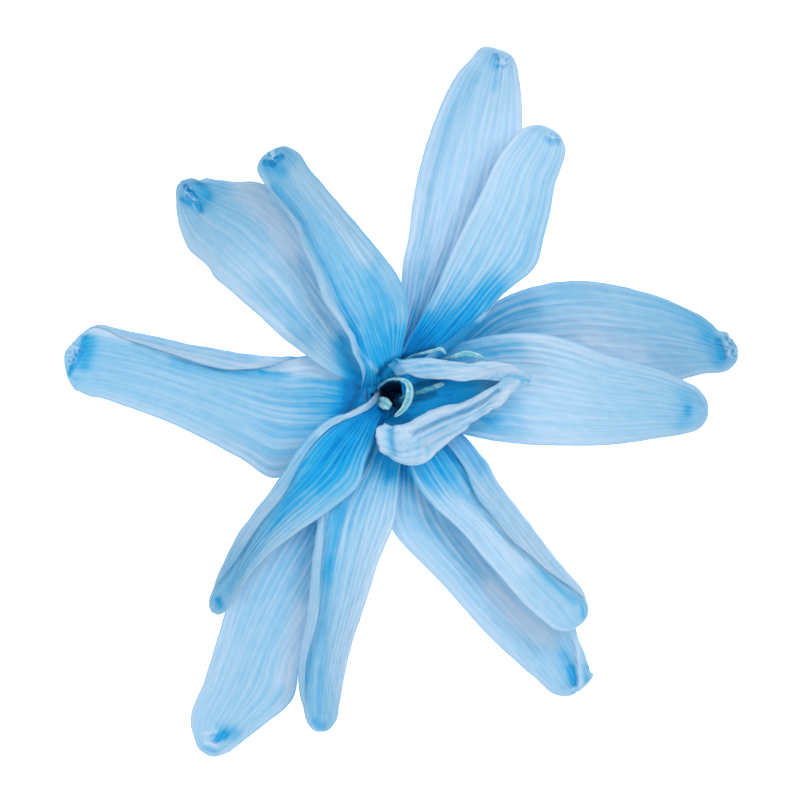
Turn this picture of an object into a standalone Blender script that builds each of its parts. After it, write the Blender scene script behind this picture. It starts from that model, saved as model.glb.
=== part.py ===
"""Preserved tuberose: one dyed double flower, cut off below its face and lying face up.

Twelve tepals grow in two whorls of six from the rim of a short hollow tube. A boat-shaped inner
petal, three stamens and two staminodes stand in its throat. Each of them grew as one piece, so
each is one object. The origin is on the resting surface below the middle of the flower, +Z points
out of its face and +Y is the long way across. Design values are in millimetres.
"""

import math
from dataclasses import dataclass

import bmesh
import bpy
import numpy as np

MM = 0.001

# Sheet of the tepals and of the inner petal
SHEET_THICKNESS = 0.40
ROLL_RADIUS = 0.50
ROLL_END_ANGLE = math.radians(186.0)
TIP_ROUNDING = 0.055
TIP_CLOSING_ANGLE = math.radians(76.0)
BODY_ROWS = 12
TIP_ROWS = 4
PLAIN_COLUMNS = 4
FOLDED_COLUMNS = 6

# Tube that carries the flower
THROAT_X = -0.7
THROAT_Y = 0.5
TUBE_HEIGHT = 4.6
TUBE_END_RADIUS = 1.8
TUBE_RIM_RADIUS = 2.4
TUBE_WALL = 0.45
TUBE_FLARE_START = 2.2
TUBE_PINCH_HEIGHT = 1.5
TUBE_PINCH_RADIUS = 0.12
TUBE_PINCH_SHIFT = (-0.9, -0.6)
TUBE_SEGMENTS = 32

# Stamens
STAMEN_SIDES_RESOLUTION = 2
FILAMENT_RADIUS = 0.20

BLUE_BACK = (0.30, 0.58, 0.82, 1.0)
BLUE_FRONT = (0.26, 0.60, 0.86, 1.0)
BLUE_INNER = (0.40, 0.68, 0.90, 1.0)
BLUE_TUBE = (0.06, 0.38, 0.66, 1.0)
GREEN_ANTHER = (0.50, 0.70, 0.62, 1.0)


@dataclass
class Fold:
    """A margin rolled in over the face, between two places along the tepal."""

    start: float
    end: float
    flap: float


@dataclass
class Tepal:
    """Sections (x, y, height of the midrib, half width) from the base to the tip.

    cup is how far the margins stand above the midrib at the base, the middle and the tip.
    tilt raises the left margin, seen from the base, and lowers the right one.
    """

    sections: tuple
    cup: tuple = (0.3, 0.7, 0.5)
    tilt: float = 0.0
    left: Fold = None
    right: Fold = None
    lobe: float = 0.0


BACK_TEPALS = {
    "petal_back_top": Tepal(
        sections=(
            (0.1, 3.2, 4.2, 1.0),
            (2.1, 7.8, 4.4, 2.2),
            (4.0, 13.0, 3.8, 3.4),
            (5.2, 18.0, 2.6, 3.9),
            (6.2, 22.7, 1.3, 3.3),
            (7.0, 25.8, 0.4, 2.5),
            (7.7, 27.2, 0.2, 1.8),
            (8.0, 28.2, 0.7, 1.2),
        ),
        cup=(0.2, 0.6, 0.5),
    ),
    "petal_back_right": Tepal(
        sections=(
            (2.1, 0.8, 4.2, 1.0),
            (5.4, 2.4, 4.3, 2.4),
            (8.6, 4.5, 3.8, 3.8),
            (12.8, 5.0, 2.5, 4.5),
            (17.6, 4.9, 1.3, 4.2),
            (21.6, 4.6, 0.5, 3.1),
            (24.3, 4.2, 0.2, 2.0),
            (26.1, 3.9, 0.2, 1.4),
            (27.0, 3.9, 0.6, 1.0),
        ),
        cup=(0.2, 0.6, 0.5),
        tilt=0.3,
    ),
    "petal_back_lower_right": Tepal(
        sections=(
            (0.6, -2.0, 4.2, 1.0),
            (2.1, -5.8, 4.2, 2.4),
            (3.8, -9.8, 3.4, 3.6),
            (6.8, -13.7, 2.2, 3.7),
            (10.1, -17.3, 1.0, 3.4),
            (12.2, -20.2, 0.3, 2.6),
            (13.4, -22.2, 0.2, 1.8),
            (14.1, -23.3, 0.6, 1.3),
        ),
        cup=(0.2, 0.6, 0.5),
    ),
    "petal_back_lower_left": Tepal(
        sections=(
            (-2.0, -2.0, 4.2, 1.0),
            (-4.6, -6.2, 4.0, 2.6),
            (-7.0, -11.0, 3.3, 3.8),
            (-9.8, -15.8, 2.2, 4.2),
            (-11.7, -19.8, 1.2, 3.5),
            (-13.4, -23.8, 0.3, 2.8),
            (-14.8, -26.3, 0.2, 1.9),
            (-15.3, -27.3, 0.2, 1.4),
            (-15.7, -28.1, 0.6, 1.0),
        ),
        cup=(0.2, 0.6, 0.5),
    ),
    "petal_back_left": Tepal(
        sections=(
            (-3.5, 0.4, 4.2, 1.0),
            (-6.7, -0.4, 3.4, 3.5),
            (-9.9, -0.9, 2.5, 4.6),
            (-13.6, 0.2, 1.6, 4.0),
            (-17.8, 1.6, 0.8, 3.3),
            (-22.2, 2.8, 0.3, 2.9),
            (-25.0, 3.3, 0.2, 2.7),
            (-26.2, 3.3, 0.3, 2.2),
            (-27.0, 3.1, 0.8, 1.7),
        ),
        cup=(0.2, 0.5, 0.4),
        right=Fold(0.24, 0.90, 1.4),
    ),
    "petal_back_upper_left": Tepal(
        sections=(
            (-2.6, 2.6, 4.2, 1.0),
            (-4.6, 4.1, 4.6, 2.1),
            (-6.8, 6.9, 4.6, 3.2),
            (-9.8, 10.9, 3.6, 4.0),
            (-12.6, 13.8, 2.2, 4.1),
            (-15.2, 15.4, 0.9, 3.0),
            (-16.6, 16.7, 0.2, 1.8),
            (-17.4, 17.4, 0.6, 1.1),
        ),
        cup=(0.2, 0.6, 0.5),
    ),
}

FRONT_TEPALS = {
    "petal_front_top": Tepal(
        sections=(
            (0.3, 2.3, 5.2, 0.75),
            (3.3, 6.2, 5.9, 1.8),
            (6.9, 11.2, 6.5, 3.0),
            (9.0, 15.4, 6.3, 3.0),
            (9.9, 18.2, 5.7, 2.6),
            (11.0, 20.3, 5.2, 2.1),
            (11.4, 21.4, 5.1, 1.8),
            (11.8, 22.2, 5.4, 1.4),
        ),
        cup=(0.5, 0.7, 0.4),
        right=Fold(0.06, 0.36, 0.3),
    ),
    "petal_front_right": Tepal(
        sections=(
            (1.4, 0.4, 5.2, 0.75),
            (5.8, 1.1, 5.6, 3.9),
            (10.2, 1.1, 5.5, 4.4),
            (15.8, 0.2, 4.7, 3.6),
            (20.2, -0.2, 3.8, 2.7),
            (22.6, -0.5, 3.3, 2.0),
            (23.7, -0.6, 3.2, 1.5),
            (24.5, -0.6, 3.5, 1.2),
        ),
        cup=(0.3, 0.6, 0.4),
    ),
    "petal_front_lower_right": Tepal(
        sections=(
            (0.7, -1.1, 5.2, 0.75),
            (2.7, -4.1, 5.3, 2.5),
            (4.3, -6.7, 5.4, 2.7),
            (7.6, -10.3, 5.0, 2.4),
            (10.6, -14.0, 4.2, 2.2),
            (12.8, -16.2, 3.6, 1.9),
            (13.5, -17.2, 3.5, 1.5),
            (14.0, -18.0, 3.8, 1.3),
        ),
        cup=(0.2, 0.5, 0.4),
        left=Fold(0.22, 0.95, 1.3),
    ),
    "petal_front_bottom": Tepal(
        sections=(
            (-1.1, -1.6, 5.2, 0.75),
            (-2.0, -5.3, 5.3, 1.9),
            (-3.2, -8.6, 5.3, 3.0),
            (-4.3, -12.6, 4.9, 2.7),
            (-5.2, -16.6, 4.2, 2.2),
            (-6.2, -21.0, 3.3, 1.8),
            (-6.5, -24.2, 2.8, 1.4),
            (-6.5, -25.6, 2.7, 1.2),
            (-6.5, -26.4, 3.0, 1.0),
        ),
        cup=(0.2, 0.5, 0.4),
        right=Fold(0.28, 0.90, 0.9),
    ),
    "petal_front_lower_left": Tepal(
        sections=(
            (-2.5, -0.5, 5.5, 0.75),
            (-4.5, -2.9, 6.6, 2.2),
            (-6.7, -5.8, 6.8, 2.7),
            (-9.8, -8.8, 6.2, 2.2),
            (-12.2, -11.8, 5.3, 1.4),
            (-13.8, -14.5, 4.6, 1.0),
            (-14.6, -16.1, 4.4, 0.8),
            (-15.0, -16.9, 4.6, 0.6),
        ),
        cup=(0.2, 0.4, 0.2),
        right=Fold(0.12, 0.92, 1.1),
    ),
    "petal_front_upper_left": Tepal(
        sections=(
            (-1.5, 2.5, 5.2, 0.75),
            (-2.4, 5.8, 5.8, 2.9),
            (-3.8, 9.0, 6.2, 3.4),
            (-5.7, 12.6, 6.0, 2.9),
            (-7.6, 15.6, 5.5, 2.3),
            (-9.1, 17.9, 5.2, 1.8),
            (-9.9, 19.4, 5.1, 1.6),
            (-10.3, 20.5, 5.4, 1.4),
        ),
        cup=(0.3, 0.8, 0.5),
        left=Fold(0.12, 0.90, 0.2),
    ),
}

INNER_PETAL = Tepal(
    sections=(
        (1.0, 0.1, 5.9, 2.6),
        (1.9, 0.0, 6.9, 3.7),
        (3.0, -0.1, 7.4, 4.0),
        (5.0, 0.3, 7.6, 3.4),
        (7.4, 0.9, 7.8, 2.6),
        (9.0, 1.6, 8.2, 1.7),
        (10.0, 1.6, 8.7, 1.0),
        (10.5, 1.6, 9.2, 0.7),
    ),
    cup=(3.2, 3.2, 0.8),
    left=Fold(-0.6, 0.97, 1.3),
    right=Fold(-0.6, 0.97, 2.0),
    lobe=2.4,
)

# Stamens as (x, y, z, thickness against the filament) from the root to the tip
STAMENS = {
    "stamen_upper_left": (
        (-0.5, 1.7, 4.0, 1.0),
        (-0.5, 1.9, 5.6, 1.0),
        (-0.3, 2.8, 6.7, 1.0),
        (0.8, 3.9, 7.6, 1.0),
        (1.8, 4.3, 8.5, 1.3),
        (2.6, 4.2, 9.1, 1.8),
        (3.1, 4.2, 9.3, 1.8),
        (3.5, 4.1, 9.4, 1.1),
    ),
    "stamen_upper_right": (
        (0.3, 1.0, 4.0, 1.0),
        (0.7, 1.4, 5.6, 1.0),
        (1.7, 2.2, 6.7, 1.0),
        (3.1, 3.3, 7.8, 1.2),
        (4.1, 4.0, 8.9, 1.6),
        (5.0, 4.1, 9.2, 1.9),
        (5.9, 3.9, 9.3, 1.9),
        (6.6, 3.6, 9.3, 1.1),
    ),
    "stamen_inner": (
        (0.4, -0.1, 3.6, 1.0),
        (-0.1, 0.2, 5.4, 1.0),
        (0.4, 0.5, 7.2, 1.0),
        (1.4, 0.9, 8.5, 1.2),
        (2.4, 1.2, 9.2, 1.5),
        (3.3, 1.6, 9.6, 1.1),
    ),
    "staminode_loop": (
        (-1.7, 1.3, 4.0, 1.0),
        (-1.4, 1.5, 6.2, 1.0),
        (-0.7, 1.6, 8.0, 1.2),
        (0.1, 1.5, 8.9, 1.4),
        (0.7, 1.0, 9.2, 1.4),
        (0.7, 0.2, 9.0, 1.4),
        (0.1, -0.5, 8.7, 1.3),
        (-0.6, -1.2, 8.2, 0.9),
    ),
    "staminode_scale": (
        (-1.8, 0.0, 4.1, 1.2),
        (-1.7, 0.0, 5.6, 1.6),
        (-1.3, -0.2, 6.8, 1.7),
        (-0.8, -0.5, 7.2, 1.2),
    ),
}


def clear_scene():
    for item in list(bpy.data.objects):
        bpy.data.objects.remove(item, do_unlink=True)


def plain_material(name, colour, roughness):
    material = bpy.data.materials.new(name)
    material.use_nodes = True
    shader = material.node_tree.nodes["Principled BSDF"]
    shader.inputs["Base Color"].default_value = colour
    shader.inputs["Roughness"].default_value = roughness
    shader.inputs["Metallic"].default_value = 0.0
    material.diffuse_color = colour
    return material


def smooth_between(knots, values, at):
    """Smooth curve through the values at the knots, read at other places."""
    slopes = np.gradient(values, knots, axis=0)
    piece = np.clip(np.searchsorted(knots, at, side="right") - 1, 0, len(knots) - 2)
    span = (knots[piece + 1] - knots[piece])[:, None]
    t = (at - knots[piece])[:, None] / span
    start_weight = 2 * t**3 - 3 * t**2 + 1
    leave_weight = t**3 - 2 * t**2 + t
    arrive_weight = t**3 - t**2
    return (
        start_weight * values[piece]
        + leave_weight * span * slopes[piece]
        + (1 - start_weight) * values[piece + 1]
        + arrive_weight * span * slopes[piece + 1]
    )


def tepal_rows():
    """Places of the rows from 0 at the base to 1 at the tip, and how far each is closed in."""
    body = np.linspace(0.0, 1.0 - TIP_ROUNDING, BODY_ROWS, endpoint=False)
    angle = np.linspace(0.0, TIP_CLOSING_ANGLE, TIP_ROWS)
    tip = 1.0 - TIP_ROUNDING * (1.0 - np.sin(angle))
    closing = np.concatenate([np.ones(BODY_ROWS), np.cos(angle)])
    return np.concatenate([body, tip]), closing


def fold_strip(fold, at):
    """Length of sheet past the fold line at each row."""
    if fold is None:
        return np.zeros_like(at)
    middle = 0.5 * (fold.start + fold.end)
    half = 0.5 * (fold.end - fold.start)
    bump = np.clip(1.0 - ((at - middle) / half) ** 4, 0.0, 1.0)
    return bump * (math.pi * ROLL_RADIUS + fold.flap - ROLL_RADIUS)


def half_section(width, cup, strip, columns):
    """Distance out and height of one side of every row, from the midrib to the margin."""
    edge_angle = np.arctan(2.0 * cup / width)
    roll_angle = np.minimum(edge_angle + strip / ROLL_RADIUS, math.pi / 2)
    proud = ROLL_RADIUS * (np.sin(roll_angle) - np.sin(edge_angle))
    sheet = np.maximum(width - proud, 0.3 * width)[:, None]
    edge_angle = edge_angle[:, None]
    strip = strip[:, None]
    run = np.linspace(0.0, 1.0, columns + 1)[None, :] * (sheet + strip)
    past = np.maximum(run - sheet, 0.0)
    turned = np.clip(past / ROLL_RADIUS, 0.0, ROLL_END_ANGLE - edge_angle)
    straight = np.maximum(past - turned * ROLL_RADIUS, 0.0)
    out = (
        np.minimum(run, sheet)
        + ROLL_RADIUS * (np.sin(edge_angle + turned) - np.sin(edge_angle))
        + straight * math.cos(ROLL_END_ANGLE)
    )
    height = (
        cup[:, None] * (np.minimum(run, sheet) / sheet) ** 2
        + ROLL_RADIUS * (np.cos(edge_angle) - np.cos(edge_angle + turned))
        + straight * math.sin(ROLL_END_ANGLE)
    )
    return out, height


def tepal_surface(tepal, lowest):
    """Points of the middle of the sheet, rows from base to tip, columns from left to right."""
    sections = np.array(tepal.sections)
    steps = np.hypot(*np.diff(sections[:, :2], axis=0).T)
    knots = np.concatenate([[0.0], np.cumsum(steps)]) / steps.sum()
    at, closing = tepal_rows()
    spine = smooth_between(knots, sections, at)
    width = spine[:, 3] * closing
    cup = smooth_between(np.array([0.0, 0.5, 1.0]), np.array(tepal.cup)[:, None], at)[:, 0]
    cup = cup * closing
    left_out, left_up = half_section(
        width, cup, fold_strip(tepal.left, at), FOLDED_COLUMNS if tepal.left else PLAIN_COLUMNS
    )
    right_out, right_up = half_section(
        width, cup, fold_strip(tepal.right, at), FOLDED_COLUMNS if tepal.right else PLAIN_COLUMNS
    )
    out = np.concatenate([left_out[:, ::-1], -right_out[:, 1:]], axis=1)
    up = np.concatenate([left_up[:, ::-1], right_up[:, 1:]], axis=1)
    along = np.gradient(spine[:, :2], at, axis=0)
    along /= np.linalg.norm(along, axis=1)[:, None]
    share = out / spine[:, 3][:, None]
    back = tepal.lobe * share**2 * (1.0 - at[:, None]) ** 2
    points = np.empty(out.shape + (3,))
    points[..., 0] = spine[:, 0, None] - along[:, 1, None] * out - along[:, 0, None] * back
    points[..., 1] = spine[:, 1, None] + along[:, 0, None] * out - along[:, 1, None] * back
    points[..., 2] = np.maximum(spine[:, 2, None] + up + tepal.tilt * share, lowest)
    return points


def sheet_sides(points, thickness):
    """The face and the back of a sheet, half its thickness either side of its middle."""
    down_rows = np.gradient(points, axis=0)
    across = np.gradient(points, axis=1)
    normal = np.cross(across, down_rows)
    normal /= np.linalg.norm(normal, axis=2)[..., None]
    return points + normal * thickness / 2, points - normal * thickness / 2


def mesh_object(name, vertices, faces, material):
    mesh = bpy.data.meshes.new(name)
    mesh.from_pydata([tuple(point) for point in vertices], [], faces)
    mesh.validate()
    shape = bmesh.new()
    shape.from_mesh(mesh)
    bmesh.ops.recalc_face_normals(shape, faces=shape.faces)
    shape.to_mesh(mesh)
    shape.free()
    mesh.shade_smooth()
    mesh.materials.append(material)
    item = bpy.data.objects.new(name, mesh)
    bpy.context.collection.objects.link(item)
    return item


def sheet_object(name, points, thickness, material):
    """Closed solid from a grid of points through the middle of a sheet."""
    front, rear = sheet_sides(points, thickness)
    rear[..., 2] = np.maximum(rear[..., 2], 0.0)
    front[..., 2] = np.maximum(front[..., 2], 0.0)
    rows, columns = points.shape[:2]
    vertices = np.concatenate([front.reshape(-1, 3), rear.reshape(-1, 3)]) * MM
    count = rows * columns

    def corner(row, column):
        return row * columns + column

    faces = []
    for row in range(rows - 1):
        for column in range(columns - 1):
            quad = (
                corner(row, column),
                corner(row, column + 1),
                corner(row + 1, column + 1),
                corner(row + 1, column),
            )
            faces.append(quad)
            faces.append(tuple(count + index for index in reversed(quad)))
    rim = [corner(0, column) for column in range(columns)]
    rim += [corner(row, columns - 1) for row in range(1, rows)]
    rim += [corner(rows - 1, column) for column in range(columns - 2, -1, -1)]
    rim += [corner(row, 0) for row in range(rows - 2, 0, -1)]
    for first, second in zip(rim, rim[1:] + rim[:1]):
        faces.append((first, count + first, count + second, second))
    return mesh_object(name, vertices, faces, material)


def make_tepal(name, tepal, colour):
    material = plain_material(name, colour, 0.6)
    points = tepal_surface(tepal, SHEET_THICKNESS / 2)
    return sheet_object(name, points, SHEET_THICKNESS, material)


def make_tube():
    """The short tube: straight at its cut end, flared out to its rim, dried shut to a pinhole.

    The pinhole lies off the middle, where the wall has shrunk in from one side.
    """
    material = plain_material("floral_tube", BLUE_TUBE, 0.6)
    middle = (0.0, 0.0)
    profile = (
        (TUBE_END_RADIUS, 0.0, middle),
        (TUBE_END_RADIUS, TUBE_FLARE_START, middle),
        (TUBE_RIM_RADIUS, TUBE_HEIGHT, middle),
        (TUBE_RIM_RADIUS - TUBE_WALL, TUBE_HEIGHT, middle),
        (TUBE_END_RADIUS - TUBE_WALL, TUBE_FLARE_START, middle),
        (TUBE_PINCH_RADIUS, TUBE_PINCH_HEIGHT, TUBE_PINCH_SHIFT),
        (TUBE_END_RADIUS - TUBE_WALL, 0.0, middle),
    )
    vertices = []
    for segment in range(TUBE_SEGMENTS):
        angle = 2 * math.pi * segment / TUBE_SEGMENTS
        for radius, height, shift in profile:
            x = THROAT_X + shift[0] + radius * math.cos(angle)
            y = THROAT_Y + shift[1] + radius * math.sin(angle)
            vertices.append((x * MM, y * MM, height * MM))
    faces = []
    size = len(profile)
    for segment in range(TUBE_SEGMENTS):
        here = segment * size
        there = ((segment + 1) % TUBE_SEGMENTS) * size
        for index in range(size):
            after = (index + 1) % size
            faces.append((here + index, there + index, there + after, here + after))
    return mesh_object("floral_tube", vertices, faces, material)


def make_stamen(name, route, colour):
    """One tapering strand from its root on the tube's wall to its tip."""
    places = np.array(route)
    knots = np.linspace(0.0, 1.0, len(route))
    at = np.linspace(0.0, 1.0, 2 * len(route) - 1)
    smooth = smooth_between(knots, places, at)
    curve = bpy.data.curves.new(name, "CURVE")
    curve.dimensions = "3D"
    curve.bevel_depth = FILAMENT_RADIUS * MM
    curve.bevel_resolution = STAMEN_SIDES_RESOLUTION
    curve.use_fill_caps = True
    spline = curve.splines.new("POLY")
    spline.points.add(len(smooth) - 1)
    for point, (x, y, z, thickness) in zip(spline.points, smooth):
        point.co = (x * MM, y * MM, z * MM, 1.0)
        point.radius = thickness
    curve.materials.append(plain_material(name, colour, 0.5))
    item = bpy.data.objects.new(name, curve)
    bpy.context.collection.objects.link(item)
    return item


def main():
    clear_scene()
    make_tube()
    for name, tepal in BACK_TEPALS.items():
        make_tepal(name, tepal, BLUE_BACK)
    for name, tepal in FRONT_TEPALS.items():
        make_tepal(name, tepal, BLUE_FRONT)
    make_tepal("inner_petal", INNER_PETAL, BLUE_INNER)
    for name, route in STAMENS.items():
        make_stamen(name, route, GREEN_ANTHER)


main()
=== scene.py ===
"""Looks of the preserved tuberose: dyed, dried tepals with fine veins, rolled margins and hooded tips.

Every tepal is one curved sheet with a face and a back. Its outline and height follow the part's
own sections, in millimetres, with some bases and margins moved to match the photo. Veins, ruffles,
rolled margins and the pit at the tip are modelled, and each vertex carries how far along and across
the tepal it lies, how deep its dye is and how much painted shade it takes, which the materials turn
into colour.
"""

import math
from dataclasses import dataclass

import bpy
import numpy as np
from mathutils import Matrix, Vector


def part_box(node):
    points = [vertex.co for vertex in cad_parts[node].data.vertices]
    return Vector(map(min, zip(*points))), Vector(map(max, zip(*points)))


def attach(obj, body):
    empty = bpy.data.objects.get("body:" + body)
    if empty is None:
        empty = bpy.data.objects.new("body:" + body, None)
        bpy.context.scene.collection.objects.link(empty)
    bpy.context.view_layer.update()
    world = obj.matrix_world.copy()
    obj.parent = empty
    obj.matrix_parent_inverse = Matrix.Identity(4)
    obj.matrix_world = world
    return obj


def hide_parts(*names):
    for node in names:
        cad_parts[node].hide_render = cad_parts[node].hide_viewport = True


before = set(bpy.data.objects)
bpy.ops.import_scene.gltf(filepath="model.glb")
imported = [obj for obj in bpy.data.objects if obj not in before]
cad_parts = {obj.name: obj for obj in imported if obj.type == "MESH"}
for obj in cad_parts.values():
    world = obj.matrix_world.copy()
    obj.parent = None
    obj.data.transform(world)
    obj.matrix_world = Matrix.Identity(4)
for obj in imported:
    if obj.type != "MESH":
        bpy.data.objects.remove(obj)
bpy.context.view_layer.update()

MM = 0.001

# Sides of a tepal, seen from its base
LEFT = 1
RIGHT = -1

# Sheet of the tepals
SHEET_THICKNESS = 0.24
MARGIN_THICKNESS = 0.07
MARGIN_REACH = 0.5
FLOOR_GAP = 0.02
LEAST_FACE_HEIGHT = 0.05
LEAST_PUSHED_WIDTH = 0.8
LEAST_SHEET_SHARE = 0.3
ROLL_RADIUS = 0.36
LEAST_ROLL_RADIUS = 0.14
ROLL_END_ANGLE = math.radians(182.0)
TIP_ROUNDING = 0.055
TIP_CLOSING_ANGLE = math.radians(83.0)
BODY_ROWS = 100
TIP_ROWS = 20
HALF_COLUMNS = 46
TAPER_WINDOW = 9

# Relief of the sheet, in millimetres
VEIN_RELIEF = 0.125
FINE_VEIN_RELIEF = 0.034
FINE_VEIN_RATIO = 2.3
VEIN_FIELD_REACH = 2.4
RUFFLE_HEIGHT = 0.14
WAVE_HEIGHT = 0.12

# Crumpled patches at the tips, and the fine crinkle all over, drawn out along the veins
CRUMPLE_WAVES = 14
CRUMPLE_PITCHES = (0.34, 0.80)
CRUMPLE_RELIEF = 0.10
CRINKLE_PITCHES = (0.45, 1.1)
CRINKLE_RELIEF = 0.042
CRINKLE_STRETCH = 2.6

# Depth of the dye, how grey the margins are, and the heights and radii where the throat's painted shade
# fades out
DEEPEST_TIP_DYE = 0.77
MARGIN_DULLNESS = 0.30
# Margins painted paler: partly paler tissue, partly painted light against the shade on their steep edges
MARGIN_PALING = 0.15
THROAT_HEIGHTS = (4.3, 5.5)
THROAT_RADII = (1.0, 2.0)

# Papillae: the whitish hairs at a tip
PAPILLA_RADIUS = 0.060
PAPILLA_LENGTH = 0.10
PAPILLA_SIDES = 7
HAIR_DYE = 0.35

# Stamens: LEAST_SIDEWAYS keeps their cross-section defined where they run straight up
STRAND_ROWS = 90
STRAND_SIDES = 28
STRAND_GRAIN = 0.05
STRAND_END = 0.05
LEAST_END = 0.2
ANTHER_SWELL = 0.06
GROOVE_WIDTH = 0.5
LEAST_SIDEWAYS = 1e-4

# Tube that carries the flower: its place and outer size are read from the frame
TUBE_LOW, TUBE_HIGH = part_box("floral_tube")
THROAT_X = (TUBE_LOW.x + TUBE_HIGH.x) / 2 / MM
THROAT_Y = (TUBE_LOW.y + TUBE_HIGH.y) / 2 / MM
TUBE_HEIGHT = TUBE_HIGH.z / MM
TUBE_RIM_RADIUS = (TUBE_HIGH.x - TUBE_LOW.x) / 2 / MM
TUBE_END_RADIUS = 0.75 * TUBE_RIM_RADIUS
TUBE_WALL = 0.42
TUBE_PINCH_HEIGHT = 1.5
TUBE_PINCH_RADIUS = 0.12
TUBE_PINCH_SHIFT = (-0.9, -0.6)
TUBE_FLARE_START = 2.2
TUBE_SEGMENTS = 144
TUBE_RIDGES = 18
TUBE_RIDGE_HEIGHT = 0.05
TUBE_OVALNESS = 0.02
TUBE_OVAL_PHASE = 0.6

# Painted light on the side of the throat that would catch light: its direction, where it sets in, how
# softly
PAINTED_LIT_SIDE = (0.79, -0.61, 0.0)
PAINTED_LIT_SIDE_EDGE = -0.85
PAINTED_LIT_SIDE_FADE = 0.35

# Camera over the flower: one pixel of the photo is PIXEL millimetres at the tepals
PIXEL = 0.08
PICTURE_SIDE = 800
VIEW_CENTRE = (-0.16, 0.16)
VIEW_HEIGHT = 4.0
CAMERA_DISTANCE = 0.70
SENSOR_WIDTH = 36.0

# Light: the sky and the two softboxes together light a level white sheet to just under white
SKY_STRENGTH = 0.66
SKY_COLOUR = (0.88, 0.95, 1.0, 1.0)
KEY_PLACE = (0.30, 0.24, 0.64)
KEY_WATTS = 2.30
FILL_PLACE = (-0.34, -0.20, 0.62)
FILL_WATTS = 1.15
SOFTBOX_SIZE = 0.34
SOFTBOX_COLOUR = (1.0, 0.98, 0.96)
FLOOR_GLOW = 0.72
FLOOR_REACH = 1.2


@dataclass
class Fold:
    """A margin rolled in over the face: (place along the tepal, width seen from above) pairs.

    radius is the widest that the roll gets.
    """

    widths: tuple
    radius: float = ROLL_RADIUS


@dataclass
class Push:
    """A stretch of margin that stands further out (or in, below zero), as a bell along it.

    at is its place and spread its reach, as shares of the tepal's length. out is in millimetres.
    """

    at: float
    side: int
    out: float
    spread: float


@dataclass
class Line:
    """A crease, pocket, ridge or streak along a route of (x, y) points on a tepal; some are painted shade
    or painted light.

    width is its reach to either side, depth how far it sinks (below zero: how far it stands up),
    dye how much deeper the colour is there and shade how far it turns to dark blue: painted shade
    in gaps, creases and under other tepals, and greyer bands.
    on picks the sheet: "body" or "flap".
    """

    route: tuple
    width: float
    depth: float = 0.0
    dye: float = 0.0
    on: str = "body"
    shade: float = 0.0


@dataclass
class Tuft:
    """A patch of whitish papillae, count of them, round (x, y)."""

    x: float
    y: float
    radius: float
    count: int


@dataclass
class Tepal:
    """Sections (x, y, height of the midrib, half width) from the base to the tip.

    cup is how far the margins stand above the midrib at the base, the middle and the tip.
    tilt raises the left margin, seen from the base, and lowers the right one. lobe is how far the
    left and right sides reach back past the base and how round they are, from 0 to 1. blunt is how
    broad the tip is: the smaller, the broader. droop is how far the left and right margins turn down.
    dye is how deep the colour is at the base, the middle and the tip, reach how far the deep base
    colour runs out, side how much deeper the left side is than the right, flap_dye how much deeper
    the folds are, and dull how grey the colour is at the base and at the tip. veining is how strong
    the veins are on the sheet and on its folds, and calm how far from the base they set in.
    """

    sections: tuple
    seed: int
    veins: int
    dye: tuple
    cup: tuple = (0.2, 0.6, 0.5)
    tilt: float = 0.0
    left: Fold = None
    right: Fold = None
    lobe: tuple = ((0.0, 0.0), (0.0, 0.0))
    blunt: float = 0.75
    reach: float = 0.22
    side: float = 0.0
    dull: tuple = (0.0, 0.3)
    droop: tuple = (0.0, 0.0)
    pushes: tuple = ()
    lines: tuple = ()
    tufts: tuple = ()
    flap_dye: float = 0.0
    veining: tuple = (1.0, 1.0)
    calm: float = 0.0
    slot: str = "back_tepal"


TEPALS = {}

# Back whorl, clockwise from the top

TEPALS["petal_back_top"] = Tepal(
    sections=(
        (0.1, 3.2, 4.2, 1.0), (2.1, 7.8, 4.4, 2.2), (4.0, 13.0, 3.8, 3.4), (5.2, 18.0, 2.6, 3.9),
        (6.2, 22.7, 1.3, 3.4), (7.0, 25.8, 0.4, 2.6), (7.4, 27.3, 0.2, 2.0), (7.72, 28.33, 0.7, 1.75),
    ),
    blunt=0.52,
    seed=11,
    veins=14,
    veining=(1.5, 1.0),
    dye=(0.62, 0.2, 0.32),
    dull=(0.1, 0.35),
    reach=0.2,
    side=0.07,
    pushes=(
        Push(0.27, LEFT, 0.35, 0.08), Push(0.78, RIGHT, 0.15, 0.1), Push(0.72, LEFT, -0.08, 0.15),
        Push(0.44, LEFT, 0.12, 0.08), Push(0.96, LEFT, -0.2, 0.03),
    ),
    lines=(
        Line(((7.5, 27.8), (7.6, 27.1)), 0.26, depth=0.25, dye=0.22),
        Line(((7.3, 27.2), (7.5, 25.6)), 0.6, depth=0.05, dye=0.14),
        Line(((2.2, 6.0), (5.6, 11.5), (8.2, 17.6)), 1.5, depth=0.1, dye=0.24),
        Line(((1.5, 10.0), (2.3, 17.6), (3.9, 22.4), (5.8, 26.2)), 0.55, dye=0.1, shade=0.06),
    ),
    tufts=(Tuft(8.2, 27.3, 0.6, 5),),
)

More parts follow.
